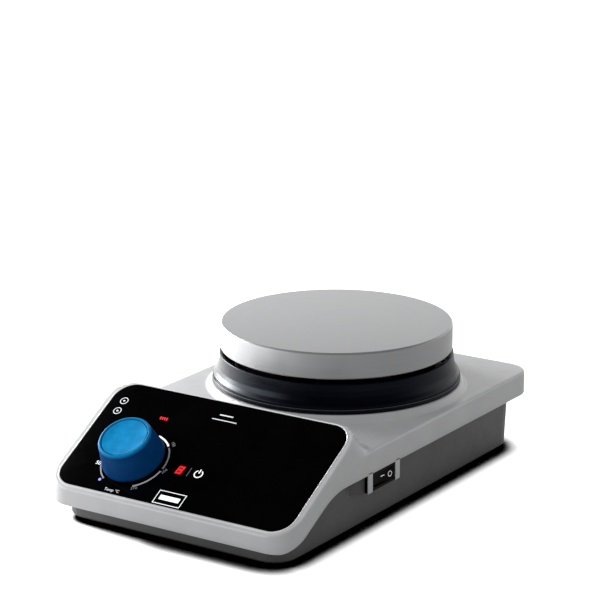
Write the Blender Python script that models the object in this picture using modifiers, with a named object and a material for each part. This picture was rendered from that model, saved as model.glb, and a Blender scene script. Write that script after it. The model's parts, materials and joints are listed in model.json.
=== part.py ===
"""Laboratory heating plate with a sloped control panel, an aluminium plate and one temperature knob.

Units are metres, +Z is up and the front faces -Y. The origin is the centre of the footprint on the surface
that the rubber feet stand on.
"""

from math import atan, cos, pi, radians, sin, tan

import bmesh
import bpy
from mathutils import Matrix, Vector

MM = 0.001
GAP = 0.3 * MM

# Casing
WIDTH = 163.0 * MM
FRONT = -132.0 * MM
BACK = 132.0 * MM
DECK_TOP = 47.2 * MM
LIP_BOTTOM = 33.6 * MM
FRONT_LIP_BOTTOM = 10.7 * MM
LIP_BEND = -87.5 * MM
LIP_SLOPE_END = -128.7 * MM
WALL = 3.0 * MM
CORNER = 16.0 * MM
EDGE = 1.6 * MM

# Sloped front: a plane through FASCIA_CENTRE, tilted about X
FASCIA_SLOPE = radians(30.3)
FASCIA_CENTRE = Vector((0.0, -95.6 * MM, 41.85 * MM))
PANEL_WIDTH = 154.6 * MM
PANEL_SLANT = 78.6 * MM
PANEL_CORNER = 12.5 * MM
PANEL_THICKNESS = 2.6 * MM
PANEL_SEAT = 3.0 * MM
CREST_MARGIN = 1.6 * MM
CREST_CORNER = 13.0 * MM
FLANK_SLOPE = radians(52.0)

# Heating plate stack, on the axis x = 0, y = PLATE_Y
PLATE_Y = 40.5 * MM
PLATE_RADIUS = 67.5 * MM
PLATE_TOP = 85.6 * MM
PLATE_THICKNESS = 15.4 * MM
PLATE_CHAMFER = 0.7 * MM
PLINTH_TOP = 51.0 * MM
PLINTH_RADIUS = 73.0 * MM
PLINTH_FOOT_RADIUS = 76.0 * MM
DECK_OPENING_RADIUS = 45.0 * MM
STACK_RADIUS = 57.5 * MM
STACK_BORE = 8.0 * MM
PILLAR_CIRCLE = 62.2 * MM
PILLAR_RADIUS = 2.6 * MM
PILLAR_ANGLES = (90.0, 210.0, 330.0)
COLLAR_TOP = 67.6 * MM

# Base tray
BASE_HALF_WIDTH = 74.5 * MM
BASE_TAPER = 1.1 * MM
BASE_FRONT = -127.0 * MM
BASE_BACK = 122.6 * MM
BASE_BOTTOM = 2.5 * MM
BASE_WALL = 2.5 * MM
BASE_CORNER = 14.0 * MM
BASE_OVERLAP = 3.0 * MM
FOOT_RADIUS = 8.0 * MM
FOOT_X = 58.0 * MM
FOOT_YS = (-108.0 * MM, 104.0 * MM)
SCREW_X = 61.0 * MM
SCREW_YS = (-88.0 * MM, 84.0 * MM)
SCREW_JOIN = 14.0 * MM

# Knob, on the fascia at (KNOB_U, KNOB_V) from the panel's centre
KNOB_U = -36.6 * MM
KNOB_V = -12.8 * MM
KNOB_BASE_RADIUS = 18.1 * MM
KNOB_TOP_RADIUS = 15.7 * MM
KNOB_HEIGHT = 17.4 * MM
KNOB_LIFT = 1.2 * MM
SHAFT_RADIUS = 3.0 * MM

# Lit windows in the panel: centre on the fascia, width and slant height
HEAT_WINDOW = (-37.0 * MM, 19.2 * MM, 6.0 * MM, 2.4 * MM)
DISPLAY_WINDOW = (-6.0 * MM, -12.3 * MM, 5.0 * MM, 7.0 * MM)

# Mains switch in the right side
SWITCH_Y = -37.7 * MM
SWITCH_WIDTH = 23.0 * MM
SWITCH_TOP = 33.3 * MM
SWITCH_HEIGHT = 10.3 * MM
SWITCH_FACE = 80.7 * MM
SWITCH_BACK = 60.0 * MM
EAR_FRONT = -54.2 * MM
EAR_BACK = -21.4 * MM
EAR_BOTTOM = 22.8 * MM
ROCKER_PIVOT_X = 75.9 * MM
ROCKER_HALF_LENGTH = 9.3 * MM
ROCKER_HEIGHT = 6.6 * MM
ROCKER_TILT = radians(6.0)

# Mains inlet in the back wall
INLET_Z = 18.0 * MM
INLET_X = 38.0 * MM
INLET_FLANGE = (52.0 * MM, 2.4 * MM, 24.0 * MM)
INLET_BODY = (48.0 * MM, 22.0 * MM, 19.0 * MM)
SOCKET_X = -8.5 * MM
SOCKET_RECESS = (24.6 * MM, 15.0 * MM, 16.4 * MM)
DRAWER_X = 15.0 * MM
DRAWER_FACE = (13.0 * MM, 13.0 * MM)
DRAWER_DEPTH = 20.0 * MM
PIN_SIZE = (2.0 * MM, 20.0 * MM, 4.0 * MM)

ROUND = 48
FINE_ROUND = 72
SMALL_ROUND = 20

PARTS = "heating_plate_unit"
CUTTERS = "cutters"


# ---------------------------------------------------------------- scene and materials


def clear_scene():
    for obj in list(bpy.data.objects):
        bpy.data.objects.remove(obj, do_unlink=True)
    for name, hidden in ((PARTS, False), (CUTTERS, True)):
        collection = bpy.data.collections.new(name)
        bpy.context.scene.collection.children.link(collection)
        collection.hide_render = hidden


def material(name, colour, roughness, metallic=0.0):
    found = bpy.data.materials.get(name)
    if found:
        return found
    made = bpy.data.materials.new(name)
    made.use_nodes = True
    shader = made.node_tree.nodes["Principled BSDF"]
    shader.inputs["Base Color"].default_value = (*colour, 1.0)
    shader.inputs["Roughness"].default_value = roughness
    shader.inputs["Metallic"].default_value = metallic
    made.diffuse_color = (*colour, 1.0)
    return made


MATERIALS = {
    "casing_paint": ((0.42, 0.42, 0.43), 0.38, 0.0),
    "base_plastic": ((0.075, 0.075, 0.078), 0.5, 0.0),
    "gloss_black": ((0.006, 0.006, 0.007), 0.08, 0.0),
    "satin_black": ((0.012, 0.012, 0.014), 0.3, 0.0),
    "knob_blue": ((0.01, 0.16, 0.55), 0.45, 0.0),
    "aluminium": ((0.60, 0.61, 0.62), 0.38, 1.0),
    "steel": ((0.55, 0.55, 0.56), 0.3, 1.0),
    "brass": ((0.72, 0.55, 0.25), 0.3, 1.0),
    "mica": ((0.45, 0.38, 0.27), 0.6, 0.0),
    "wool": ((0.78, 0.76, 0.70), 0.9, 0.0),
    "board_green": ((0.02, 0.16, 0.06), 0.45, 0.0),
    "rubber": ((0.02, 0.02, 0.02), 0.8, 0.0),
    "red_lens": ((0.80, 0.01, 0.01), 0.2, 0.0),
    "glass": ((0.75, 0.80, 0.80), 0.05, 0.0),
    "lead_brown": ((0.20, 0.08, 0.03), 0.5, 0.0),
    "lead_blue": ((0.02, 0.10, 0.45), 0.5, 0.0),
    "lead_earth": ((0.25, 0.45, 0.03), 0.5, 0.0),
    "label_silver": ((0.55, 0.55, 0.55), 0.5, 0.0),
}


def finish_part(obj, name, material_name, smooth_angle=32.0):
    """Names the object, gives it its material and shades it, and puts it with the parts."""
    obj.name = name
    obj.data.materials.clear()
    obj.data.materials.append(material(material_name, *MATERIALS[material_name]))
    obj.data.shade_smooth()
    obj.data.set_sharp_from_angle(angle=radians(smooth_angle))
    if obj.name not in bpy.data.collections[PARTS].objects:
        bpy.data.collections[PARTS].objects.link(obj)
    return obj


def new_object(name, mesh):
    obj = bpy.data.objects.new(name, mesh)
    bpy.data.collections[PARTS].objects.link(obj)
    return obj


# ---------------------------------------------------------------- shapes


def box(name, low, high):
    """A box between two corners."""
    mesh = bpy.data.meshes.new(name)
    body = bmesh.new()
    bmesh.ops.create_cube(body, size=1.0)
    size = Vector(high) - Vector(low)
    bmesh.ops.scale(body, vec=size, verts=body.verts)
    bmesh.ops.translate(body, vec=(Vector(low) + Vector(high)) / 2, verts=body.verts)
    body.to_mesh(mesh)
    body.free()
    return new_object(name, mesh)


def cylinder(name, radius, bottom, top, centre=(0.0, 0.0), segments=SMALL_ROUND, top_radius=None):
    """An upright cylinder, or a cone when top_radius is given."""
    mesh = bpy.data.meshes.new(name)
    body = bmesh.new()
    bmesh.ops.create_cone(
        body,
        cap_ends=True,
        segments=segments,
        radius1=radius,
        radius2=radius if top_radius is None else top_radius,
        depth=top - bottom,
    )
    bmesh.ops.translate(body, vec=(*centre, (bottom + top) / 2), verts=body.verts)
    body.to_mesh(mesh)
    body.free()
    return new_object(name, mesh)


def turned(name, profile, segments=ROUND, closed=False, centre=(0.0, 0.0)):
    """A profile of (radius, height) points turned about the vertical axis through centre.

    The profile runs down the outer side. A closed one is a ring, and an open one starts and ends on the axis.
    """
    mesh = bpy.data.meshes.new(name)
    edges = [(i, i + 1) for i in range(len(profile) - 1)]
    if closed:
        edges.append((len(profile) - 1, 0))
    mesh.from_pydata([(radius, 0.0, height) for radius, height in profile], edges, [])
    obj = new_object(name, mesh)
    obj.location = (*centre, 0.0)
    screw = obj.modifiers.new("turn", "SCREW")
    screw.axis = "Z"
    screw.steps = segments
    screw.render_steps = segments
    screw.use_merge_vertices = True
    screw.merge_threshold = 0.00001
    return obj


def rounded_rectangle(half_width, low, high, radius, steps=6):
    """Outline points, anticlockwise, of a rectangle that is symmetric in its first coordinate."""
    centres = (
        (half_width - radius, high - radius, 0.0),
        (-half_width + radius, high - radius, 90.0),
        (-half_width + radius, low + radius, 180.0),
        (half_width - radius, low + radius, 270.0),
    )
    points = []
    for x, y, start in centres:
        for step in range(steps + 1):
            angle = radians(start + 90.0 * step / steps)
            points.append((x + radius * cos(angle), y + radius * sin(angle)))
    return points


def plate(name, outline, thickness, matrix=None):
    """A flat outline given a thickness, centred on its own plane."""
    curve = bpy.data.curves.new(name, "CURVE")
    curve.dimensions = "2D"
    curve.fill_mode = "BOTH"
    curve.extrude = thickness / 2
    spline = curve.splines.new("POLY")
    spline.points.add(len(outline) - 1)
    for point, (x, y) in zip(spline.points, outline):
        point.co = (x, y, 0.0, 1.0)
    spline.use_cyclic_u = True
    guide = new_object(name + "_outline", curve)
    obj = as_mesh(guide, name)
    obj.matrix_world = matrix or Matrix.Identity(4)
    apply_placement(obj)
    return obj


def as_mesh(curve_object, name):
    """A mesh object made from a curve object, with its caps welded. The curve is removed."""
    bpy.context.view_layer.update()
    graph = bpy.context.evaluated_depsgraph_get()
    mesh = bpy.data.meshes.new_from_object(curve_object.evaluated_get(graph))
    body = bmesh.new()
    body.from_mesh(mesh)
    bmesh.ops.remove_doubles(body, verts=body.verts, dist=0.00001)
    bmesh.ops.recalc_face_normals(body, faces=body.faces)
    body.to_mesh(mesh)
    body.free()
    obj = new_object(name, mesh)
    obj.matrix_world = curve_object.matrix_world
    bpy.data.objects.remove(curve_object, do_unlink=True)
    return obj


def apply_placement(obj):
    """Puts the object's placement into its mesh."""
    obj.data.transform(obj.matrix_basis)
    obj.matrix_basis = Matrix.Identity(4)


def loft(name, rings):
    """A closed solid through rings of the same number of points, the first at the bottom."""
    mesh = bpy.data.meshes.new(name)
    body = bmesh.new()
    rows = [[body.verts.new(point) for point in ring] for ring in rings]
    count = len(rows[0])
    for lower, upper in zip(rows, rows[1:]):
        for i in range(count):
            j = (i + 1) % count
            body.faces.new((lower[i], lower[j], upper[j], upper[i]))
    body.faces.new(rows[0])
    body.faces.new(rows[-1])
    bmesh.ops.recalc_face_normals(body, faces=body.faces)
    body.to_mesh(mesh)
    body.free()
    return new_object(name, mesh)


def combine(obj, tool, operation):
    """Joins, cuts or intersects obj with the tool, which is kept among the cutters."""
    for collection in list(tool.users_collection):
        collection.objects.unlink(tool)
    bpy.data.collections[CUTTERS].objects.link(tool)
    tool.hide_render = True
    tool.display_type = "WIRE"
    modifier = obj.modifiers.new(operation.lower(), "BOOLEAN")
    modifier.operation = operation
    modifier.object = tool
    modifier.solver = "EXACT"


def cut(obj, tool):
    combine(obj, tool, "DIFFERENCE")


def join(obj, tool):
    combine(obj, tool, "UNION")


def bevel(obj, width, segments=2, angle=40.0):
    modifier = obj.modifiers.new("bevel", "BEVEL")
    modifier.width = width
    modifier.segments = segments
    modifier.limit_method = "ANGLE"
    modifier.angle_limit = radians(angle)


def axis_matrix(origin, direction):
    """Places local +Z along direction."""
    turn = Vector(direction).to_track_quat("Z", "Y").to_matrix().to_4x4()
    return Matrix.Translation(origin) @ turn


def fascia_matrix(u=0.0, v=0.0, w=0.0):
    """A place on the sloped front: u to the right, v up the slope, w outwards."""
    slope = Matrix.Rotation(FASCIA_SLOPE, 4, "X")
    return Matrix.Translation(FASCIA_CENTRE) @ slope @ Matrix.Translation((u, v, w))


def fascia_height(y):
    """Height of the sloped front's plane at a given y."""
    return FASCIA_CENTRE.z + (y - FASCIA_CENTRE.y) * tan(FASCIA_SLOPE)


def smooth_route(points, steps=3):
    """Points of a smooth curve through the given ones."""
    ends = [points[0]] + points + [points[-1]]
    route = []
    for i in range(1, len(ends) - 2):
        a, b, c, d = (Vector(p) for p in ends[i - 1 : i + 3])
        for step in range(steps):
            t = step / steps
            bend = (2 * a - 5 * b + 4 * c - d) * t * t + (3 * b - a - 3 * c + d) * t**3
            route.append(0.5 * (2 * b + (c - a) * t + bend))
    route.append(Vector(points[-1]))
    return route


def lead(name, points, radius, material_name):
    """An insulated wire along a smooth route."""
    curve = bpy.data.curves.new(name, "CURVE")
    curve.dimensions = "3D"
    curve.bevel_depth = radius
    curve.bevel_resolution = 2
    curve.use_fill_caps = True
    route = smooth_route(points)
    spline = curve.splines.new("POLY")
    spline.points.add(len(route) - 1)
    for point, place in zip(spline.points, route):
        point.co = (*place, 1.0)
    obj = as_mesh(new_object(name + "_route", curve), name)
    return finish_part(obj, name, material_name)


# ---------------------------------------------------------------- casing


def fascia_point(v, w):
    """The (y, z) of a place v up the slope from the panel's centre and w out of it."""
    place = fascia_matrix(0.0, v, w).translation
    return (place.y, place.z)


def side_profile(wall, cover, bottom):
    """The casing's side view as (y, z) points, longer than the casing at both ends.

    It lies wall inside the deck and the wedge's rear flank, and cover under the sloped front.
    """
    crest = fascia_point(PANEL_SLANT / 2 + CREST_MARGIN - wall, -cover)
    deck = DECK_TOP - wall
    flank_foot = crest[0] + (crest[1] - deck) / tan(FLANK_SLOPE)
    front = FRONT - 10 * MM
    return [
        (BACK + 10 * MM, bottom),
        (BACK + 10 * MM, deck),
        (flank_foot, deck),
        crest,
        (front, fascia_height(front) - cover / cos(FASCIA_SLOPE)),
        (front, bottom),
    ]


def profile_solid(name, profile, half_width):
    """A side view made solid across the casing's width."""
    across = Matrix.Rotation(pi / 2, 4, "Z") @ Matrix.Rotation(pi / 2, 4, "X")
    return plate(name, profile, 2 * half_width, across)


def plan_solid(name, inset, bottom, top):
    outline = rounded_rectangle(WIDTH / 2 - inset, FRONT + inset, BACK - inset, CORNER - inset)
    middle = Matrix.Translation((0.0, 0.0, (bottom + top) / 2))
    return plate(name, outline, top - bottom, middle)


def wedge_corner_cutter(name, side, inset):
    """Rounds one upper corner of the raised front, along its rear flank and above the deck only."""
    radius = CREST_CORNER - inset
    top = PANEL_SLANT / 2 + CREST_MARGIN + 0.05 * MM - inset
    edge = WIDTH / 2 + 0.05 * MM - inset
    outline = [(edge + 9 * MM, top - radius)]
    for step in range(7):
        angle = pi / 2 * step / 6
        outline.append((edge - radius + radius * cos(angle), top - radius + radius * sin(angle)))
    outline += [(edge - radius, top + 9 * MM), (edge + 9 * MM, top + 9 * MM)]
    if side < 0:
        outline = [(-x, y) for x, y in reversed(outline)]
    along_flank = Matrix.Identity(4)
    along_flank[1][2] = -tan(pi / 2 - FASCIA_SLOPE - FLANK_SLOPE)
    cutter = plate(name, outline, 70 * MM, fascia_matrix() @ along_flank)
    deck = DECK_TOP - inset
    cut(cutter, box(name + "_deck", (-WIDTH, FRONT, deck - 100 * MM), (WIDTH, 0.0, deck)))
    return cutter


def lip_bend():
    """The side lip's lower edge where it turns from level to sloping, as (y, z) points towards the front."""
    slope = (LIP_BOTTOM - FRONT_LIP_BOTTOM) / (LIP_BEND - LIP_SLOPE_END)
    reach = 11.0 * MM
    start = Vector((LIP_BEND + reach, LIP_BOTTOM))
    corner = Vector((LIP_BEND, LIP_BOTTOM))
    run = reach * cos(atan(slope))
    end = Vector((LIP_BEND - run, LIP_BOTTOM - run * slope))
    points = []
    for step in range(5):
        t = step / 4
        points.append(tuple(start * (1 - t) ** 2 + corner * 2 * t * (1 - t) + end * t * t))
    return points


def make_upper_housing():
    housing = profile_solid("upper_housing", side_profile(0.0, 0.0, 0.0), WIDTH / 2 + 10 * MM)
    below_lip = [(BACK + 20 * MM, -20 * MM), (BACK + 20 * MM, LIP_BOTTOM)]
    below_lip += lip_bend()
    below_lip += [
        (LIP_SLOPE_END, FRONT_LIP_BOTTOM),
        (FRONT - 20 * MM, FRONT_LIP_BOTTOM),
        (FRONT - 20 * MM, -20 * MM),
    ]
    cut(housing, profile_solid("housing_below_lip", below_lip, WIDTH))
    add_switch_ears(housing)
    combine(housing, plan_solid("housing_plan", 0.0, -20 * MM, 100 * MM), "INTERSECT")
    for side in (-1, 1):
        cut(housing, wedge_corner_cutter(f"housing_corner_{side + 1}", side, 0.0))
    join(
        housing,
        turned(
            "housing_plinth",
            [
                (0.0, PLINTH_TOP),
                (PLINTH_RADIUS, PLINTH_TOP),
                (PLINTH_RADIUS + 0.9 * MM, PLINTH_TOP - 2.0 * MM),
                (PLINTH_FOOT_RADIUS + 0.5 * MM, DECK_TOP - 0.6 * MM),
                (0.0, DECK_TOP - 0.6 * MM),
            ],
            FINE_ROUND,
            centre=(0.0, PLATE_Y),
        ),
    )
    bevel(housing, EDGE, 3, 55)
    cover = PANEL_SEAT + WALL
    hollow = profile_solid("housing_hollow", side_profile(WALL, cover, -20 * MM), WIDTH / 2 + 10 * MM)
    combine(hollow, plan_solid("housing_hollow_plan", WALL, -30 * MM, 90 * MM), "INTERSECT")
    for side in (-1, 1):
        cut(hollow, wedge_corner_cutter(f"hollow_corner_{side + 1}", side, WALL))
    cut(housing, hollow)
    add_housing_bosses(housing)
    cut_housing_openings(housing)
    return finish_part(housing, "upper_housing", "casing_paint")


def add_switch_ears(housing):
    """The casing comes down on both sides of the switch."""
    front = (EAR_FRONT, SWITCH_Y - SWITCH_WIDTH / 2 - GAP)
    back = (SWITCH_Y + SWITCH_WIDTH / 2 + GAP, EAR_BACK)
    for name, (low, high) in (("front", front), ("back", back)):
        corner = (WIDTH / 2 + 5 * MM, high, LIP_BOTTOM + 4 * MM)
        join(housing, box(f"housing_ear_{name}", (70 * MM, low, EAR_BOTTOM), corner))


def add_housing_bosses(housing):
    """Posts that the base's screws go up into."""
    for i, (x, y) in enumerate(screw_places()):
        top = min(DECK_TOP, fascia_height(y)) - 2 * MM
        join(housing, cylinder(f"housing_boss_{i}", 4.5 * MM, SCREW_JOIN + GAP, top, (x, y), 16))
    for i, (x, y) in enumerate(screw_places()):
        cut(housing, cylinder(f"housing_boss_hole_{i}", 1.9 * MM, SCREW_JOIN - 2 * MM, 27 * MM, (x, y), 12))


def cut_housing_openings(housing):
    seat = rounded_rectangle(
        PANEL_WIDTH / 2 + GAP, -PANEL_SLANT / 2 - GAP, PANEL_SLANT / 2 + GAP, PANEL_CORNER + GAP
    )
    seat_depth = PANEL_SEAT + 10 * MM
    cut(housing, plate("housing_panel_seat", seat, seat_depth, fascia_matrix(w=seat_depth / 2 - PANEL_SEAT)))
    bush_hole = cylinder("housing_bush_hole", 4.2 * MM, -20 * MM, 20 * MM)
    bush_hole.data.transform(fascia_matrix(KNOB_U, KNOB_V))
    cut(housing, bush_hole)
    for i, (u, v, width, height) in enumerate((HEAT_WINDOW, DISPLAY_WINDOW)):
        window = box(
            f"housing_window_{i}",
            (-width / 2 - 1 * MM, -height / 2 - 1 * MM, -20 * MM),
            (width / 2 + 1 * MM, height / 2 + 1 * MM, 20 * MM),
        )
        window.data.transform(fascia_matrix(u, v))
        cut(housing, window)
    opening = cylinder(
        "housing_deck_opening", DECK_OPENING_RADIUS, 30 * MM, 60 * MM, (0.0, PLATE_Y), ROUND
    )
    cut(housing, opening)


def screw_places():
    return [(side * SCREW_X, y) for y in SCREW_YS for side in (-1, 1)]


def foot_places():
    return [(side * FOOT_X, y) for y in FOOT_YS for side in (-1, 1)]


# ---------------------------------------------------------------- base


def base_ring(height, inset):
    """The base tray's outline at a height. Its walls lean outwards going up."""
    lean = BASE_TAPER * (1 - (height - BASE_BOTTOM) / (LIP_BOTTOM - BASE_BOTTOM))
    inside = lean + inset
    outline = rounded_rectangle(
        BASE_HALF_WIDTH - inside, BASE_FRONT + inside, BASE_BACK - inside, BASE_CORNER - inset
    )
    return [(x, y, height) for x, y in outline]


def make_base_cover():
    top = LIP_BOTTOM + BASE_OVERLAP
    edge = 1.2 * MM
    base = loft(
        "base_cover", [base_ring(BASE_BOTTOM, edge), base_ring(BASE_BOTTOM + edge, 0.0), base_ring(top, 0.0)]
    )
    floor = BASE_BOTTOM + BASE_WALL
    cut(base, loft("base_hollow", [base_ring(floor, BASE_WALL), base_ring(top + 5 * MM, BASE_WALL)]))
    above = [
        (BACK, top + 20 * MM),
        (FRONT, top + 20 * MM),
        (FRONT, FRONT_LIP_BOTTOM + BASE_OVERLAP),
        (LIP_SLOPE_END, FRONT_LIP_BOTTOM + BASE_OVERLAP),
        (LIP_BEND, top),
        (BACK, top + 0.01 * MM),
    ]
    cut(base, profile_solid("base_above_slope", above, WIDTH / 2))
    for i, place in enumerate(screw_places()):
        join(base, cylinder(f"base_boss_{i}", 5.2 * MM, BASE_BOTTOM + 1 * MM, SCREW_JOIN, place, 16))
    for i, place in enumerate(board_posts()):
        post_top = POWER_BOARD_LOW[2] - GAP
        join(base, cylinder(f"base_post_{i}", 3 * MM, BASE_BOTTOM + 1 * MM, post_top, place, 12))
    for i, place in enumerate(screw_places()):
        cut(base, cylinder(f"base_screw_hole_{i}", 1.9 * MM, -5 * MM, SCREW_JOIN + 5 * MM, place, 12))
        cut(base, cylinder(f"base_screw_sink_{i}", 3.7 * MM, -5 * MM, BASE_BOTTOM + 5 * MM, place, 16))
    for i, place in enumerate(foot_places()):
        cut(base, cylinder(f"base_foot_hole_{i}", 2.4 * MM, -5 * MM, 12 * MM, place, 12))
    notch = SWITCH_WIDTH / 2 + 0.5 * MM
    cut(
        base,
        box(
            "base_switch_notch",
            (BASE_HALF_WIDTH - 8 * MM, SWITCH_Y - notch, SWITCH_TOP - SWITCH_HEIGHT - GAP),
            (BASE_HALF_WIDTH + 5 * MM, SWITCH_Y + notch, top + 10 * MM),
        ),
    )
    cut(
        base,
        box(
            "base_inlet_hole",
            (INLET_X - INLET_BODY[0] / 2 - GAP, BASE_BACK - 10 * MM, INLET_Z - INLET_BODY[2] / 2 - GAP),
            (INLET_X + INLET_BODY[0] / 2 + GAP, BASE_BACK + 10 * MM, INLET_Z + INLET_BODY[2] / 2 + GAP),
        ),
    )
    for i in range(5):
        x = (i - 2) * 9 * MM
        slot = box(f"base_vent_{i}", (x - 1.4 * MM, 40 * MM, -5 * MM), (x + 1.4 * MM, 76 * MM, 12 * MM))
        cut(base, slot)
    return finish_part(base, "base_cover", "base_plastic")


def make_feet_and_screws():
    foot_profile = [
        (0.0, BASE_BOTTOM + BASE_WALL - 0.2 * MM),
        (2.0 * MM, BASE_BOTTOM + BASE_WALL - 0.2 * MM),
        (2.0 * MM, BASE_BOTTOM - GAP),
        (FOOT_RADIUS, BASE_BOTTOM - GAP),
        (FOOT_RADIUS, 0.8 * MM),
        (FOOT_RADIUS - 0.8 * MM, 0.0),
        (0.0, 0.0),
    ]
    for i, place in enumerate(foot_places(), 1):
        foot = turned(f"rubber_foot_{i}", foot_profile, SMALL_ROUND, centre=place)
        finish_part(foot, f"rubber_foot_{i}", "rubber")
    head_top = BASE_BOTTOM + 5 * MM - GAP
    screw_profile = [
        (0.0, 26.0 * MM),
        (1.0 * MM, 26.0 * MM),
        (1.5 * MM, 24.5 * MM),
        (1.5 * MM, head_top),
        (3.2 * MM, head_top),
        (3.2 * MM, head_top - 2.2 * MM),
        (1.3 * MM, head_top - 2.2 * MM),
        (1.3 * MM, head_top - 0.9 * MM),
        (0.0, head_top - 0.9 * MM),
    ]
    for i, place in enumerate(screw_places(), 1):
        screw = turned(f"base_screw_{i}", screw_profile, 16, centre=place)
        finish_part(screw, f"base_screw_{i}", "steel")


def make_rating_plate():
    """A blank plate under the base, left without any text."""
    outline = rounded_rectangle(26 * MM, -16 * MM, 16 * MM, 2 * MM, 3)
    place = Matrix.Translation((0.0, -50 * MM, BASE_BOTTOM - 0.6 * MM))
    label = plate("rating_plate", outline, 0.6 * MM, place)
    finish_part(label, "rating_plate", "label_silver")


# ---------------------------------------------------------------- plate stack


def make_plate_stack():
    under = PLATE_TOP - PLATE_THICKNESS
    centre = (0.0, PLATE_Y)
    plate_profile = [
        (0.0, PLATE_TOP),
        (PLATE_RADIUS - PLATE_CHAMFER, PLATE_TOP),
        (PLATE_RADIUS, PLATE_TOP - PLATE_CHAMFER),
        (PLATE_RADIUS, under + 0.4 * MM),
        (PLATE_RADIUS - 0.4 * MM, under),
        (0.0, under),
    ]
    hot_plate = turned("heating_plate", plate_profile, FINE_ROUND, centre=centre)
    finish_part(hot_plate, "heating_plate", "aluminium")
    layers = (
        ("heating_element", "mica", 22 * MM, 56 * MM, 66.2 * MM, under - GAP),
        ("element_clamp_disc", "steel", STACK_BORE, STACK_RADIUS, 64.4 * MM, 65.9 * MM),
        ("insulation_disc", "wool", STACK_BORE, STACK_RADIUS, 56.2 * MM, 64.1 * MM),
        ("heat_shield_disc", "steel", STACK_BORE, STACK_RADIUS, 54.7 * MM, 55.9 * MM),
    )
    for name, material_name, bore, radius, low, high in layers:
        section = [(bore, high), (radius, high), (radius, low), (bore, low)]
        ring = turned(name, section, ROUND, closed=True, centre=centre)
        finish_part(ring, name, material_name)
    for i, angle in enumerate(PILLAR_ANGLES, 1):
        place = (
            PILLAR_CIRCLE * cos(radians(angle)),
            PLATE_Y + PILLAR_CIRCLE * sin(radians(angle)),
        )
        pillar = cylinder(f"plate_pillar_{i}", PILLAR_RADIUS, PLINTH_TOP + GAP, under - GAP, place, 16)
        finish_part(pillar, f"plate_pillar_{i}", "steel")
    sensor_profile = [
        (0.0, under - GAP),
        (2.8 * MM, under - GAP),
        (2.8 * MM, 53.2 * MM),
        (6.0 * MM, 53.2 * MM),
        (6.0 * MM, 50.2 * MM),
        (0.0, 50.2 * MM),
    ]
    sensor = turned("temperature_sensor", sensor_profile, SMALL_ROUND, centre=centre)
    finish_part(sensor, "temperature_sensor", "steel")
    cutout_place = (24 * MM, PLATE_Y)
    cutout = turned(
        "thermal_cutout",
        [
            (0.0, 54.4 * MM),
            (8.0 * MM, 54.4 * MM),
            (8.0 * MM, 48.7 * MM),
            (6.0 * MM, 48.1 * MM),
            (6.0 * MM, 45.2 * MM),
            (0.0, 45.2 * MM),
        ],
        SMALL_ROUND,
        centre=cutout_place,
    )
    finish_part(cutout, "thermal_cutout", "mica")


def make_collar():
    """An upright wall that flares out to a flange above the plinth."""
    foot = PLINTH_TOP + GAP
    profile = [
        (67.6 * MM, COLLAR_TOP),
        (68.0 * MM, COLLAR_TOP - 0.4 * MM),
        (68.5 * MM, 62.8 * MM),
        (69.6 * MM, 58.8 * MM),
        (71.4 * MM, 55.9 * MM),
        (72.0 * MM, 54.4 * MM),
        (71.4 * MM, 53.9 * MM),
        (72.3 * MM, 53.4 * MM),
        (72.3 * MM, foot),
        (68.6 * MM, foot),
        (68.6 * MM, 54.4 * MM),
        (67.2 * MM, 58.8 * MM),
        (66.2 * MM, 62.8 * MM),
        (66.2 * MM, COLLAR_TOP),
    ]
    collar = turned("heat_shield_collar", profile, FINE_ROUND, closed=True, centre=(0.0, PLATE_Y))
    finish_part(collar, "heat_shield_collar", "gloss_black")


# ---------------------------------------------------------------- controls


def make_control_panel():
    outline = rounded_rectangle(PANEL_WIDTH / 2, -PANEL_SLANT / 2, PANEL_SLANT / 2, PANEL_CORNER)
    panel = plate(
        "control_panel", outline, PANEL_THICKNESS, fascia_matrix(w=-PANEL_SEAT + GAP + PANEL_THICKNESS / 2)
    )
    hole = cylinder("panel_shaft_hole", 8.0 * MM, -20 * MM, 20 * MM)
    hole.data.transform(fascia_matrix(KNOB_U, KNOB_V))
    cut(panel, hole)
    for name, (u, v, width, height) in (("heat", HEAT_WINDOW), ("display", DISPLAY_WINDOW)):
        corner = Vector((width / 2, height / 2, 20 * MM))
        slot = box(f"panel_{name}_slot", -corner, corner)
        slot.data.transform(fascia_matrix(u, v))
        cut(panel, slot)
    finish_part(panel, "control_panel", "gloss_black")


def make_lenses():
    top = GAP + PANEL_THICKNESS - PANEL_SEAT
    for name, (u, v, width, height) in (
        ("heat_indicator_lens", HEAT_WINDOW),
        ("display_lens", DISPLAY_WINDOW),
    ):
        lens = box(
            name,
            (-width / 2 + 0.15 * MM, -height / 2 + 0.15 * MM, -PANEL_SEAT - WALL),
            (width / 2 - 0.15 * MM, height / 2 - 0.15 * MM, top),
        )
        lens.data.transform(fascia_matrix(u, v))
        finish_part(lens, name, "red_lens")


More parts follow.
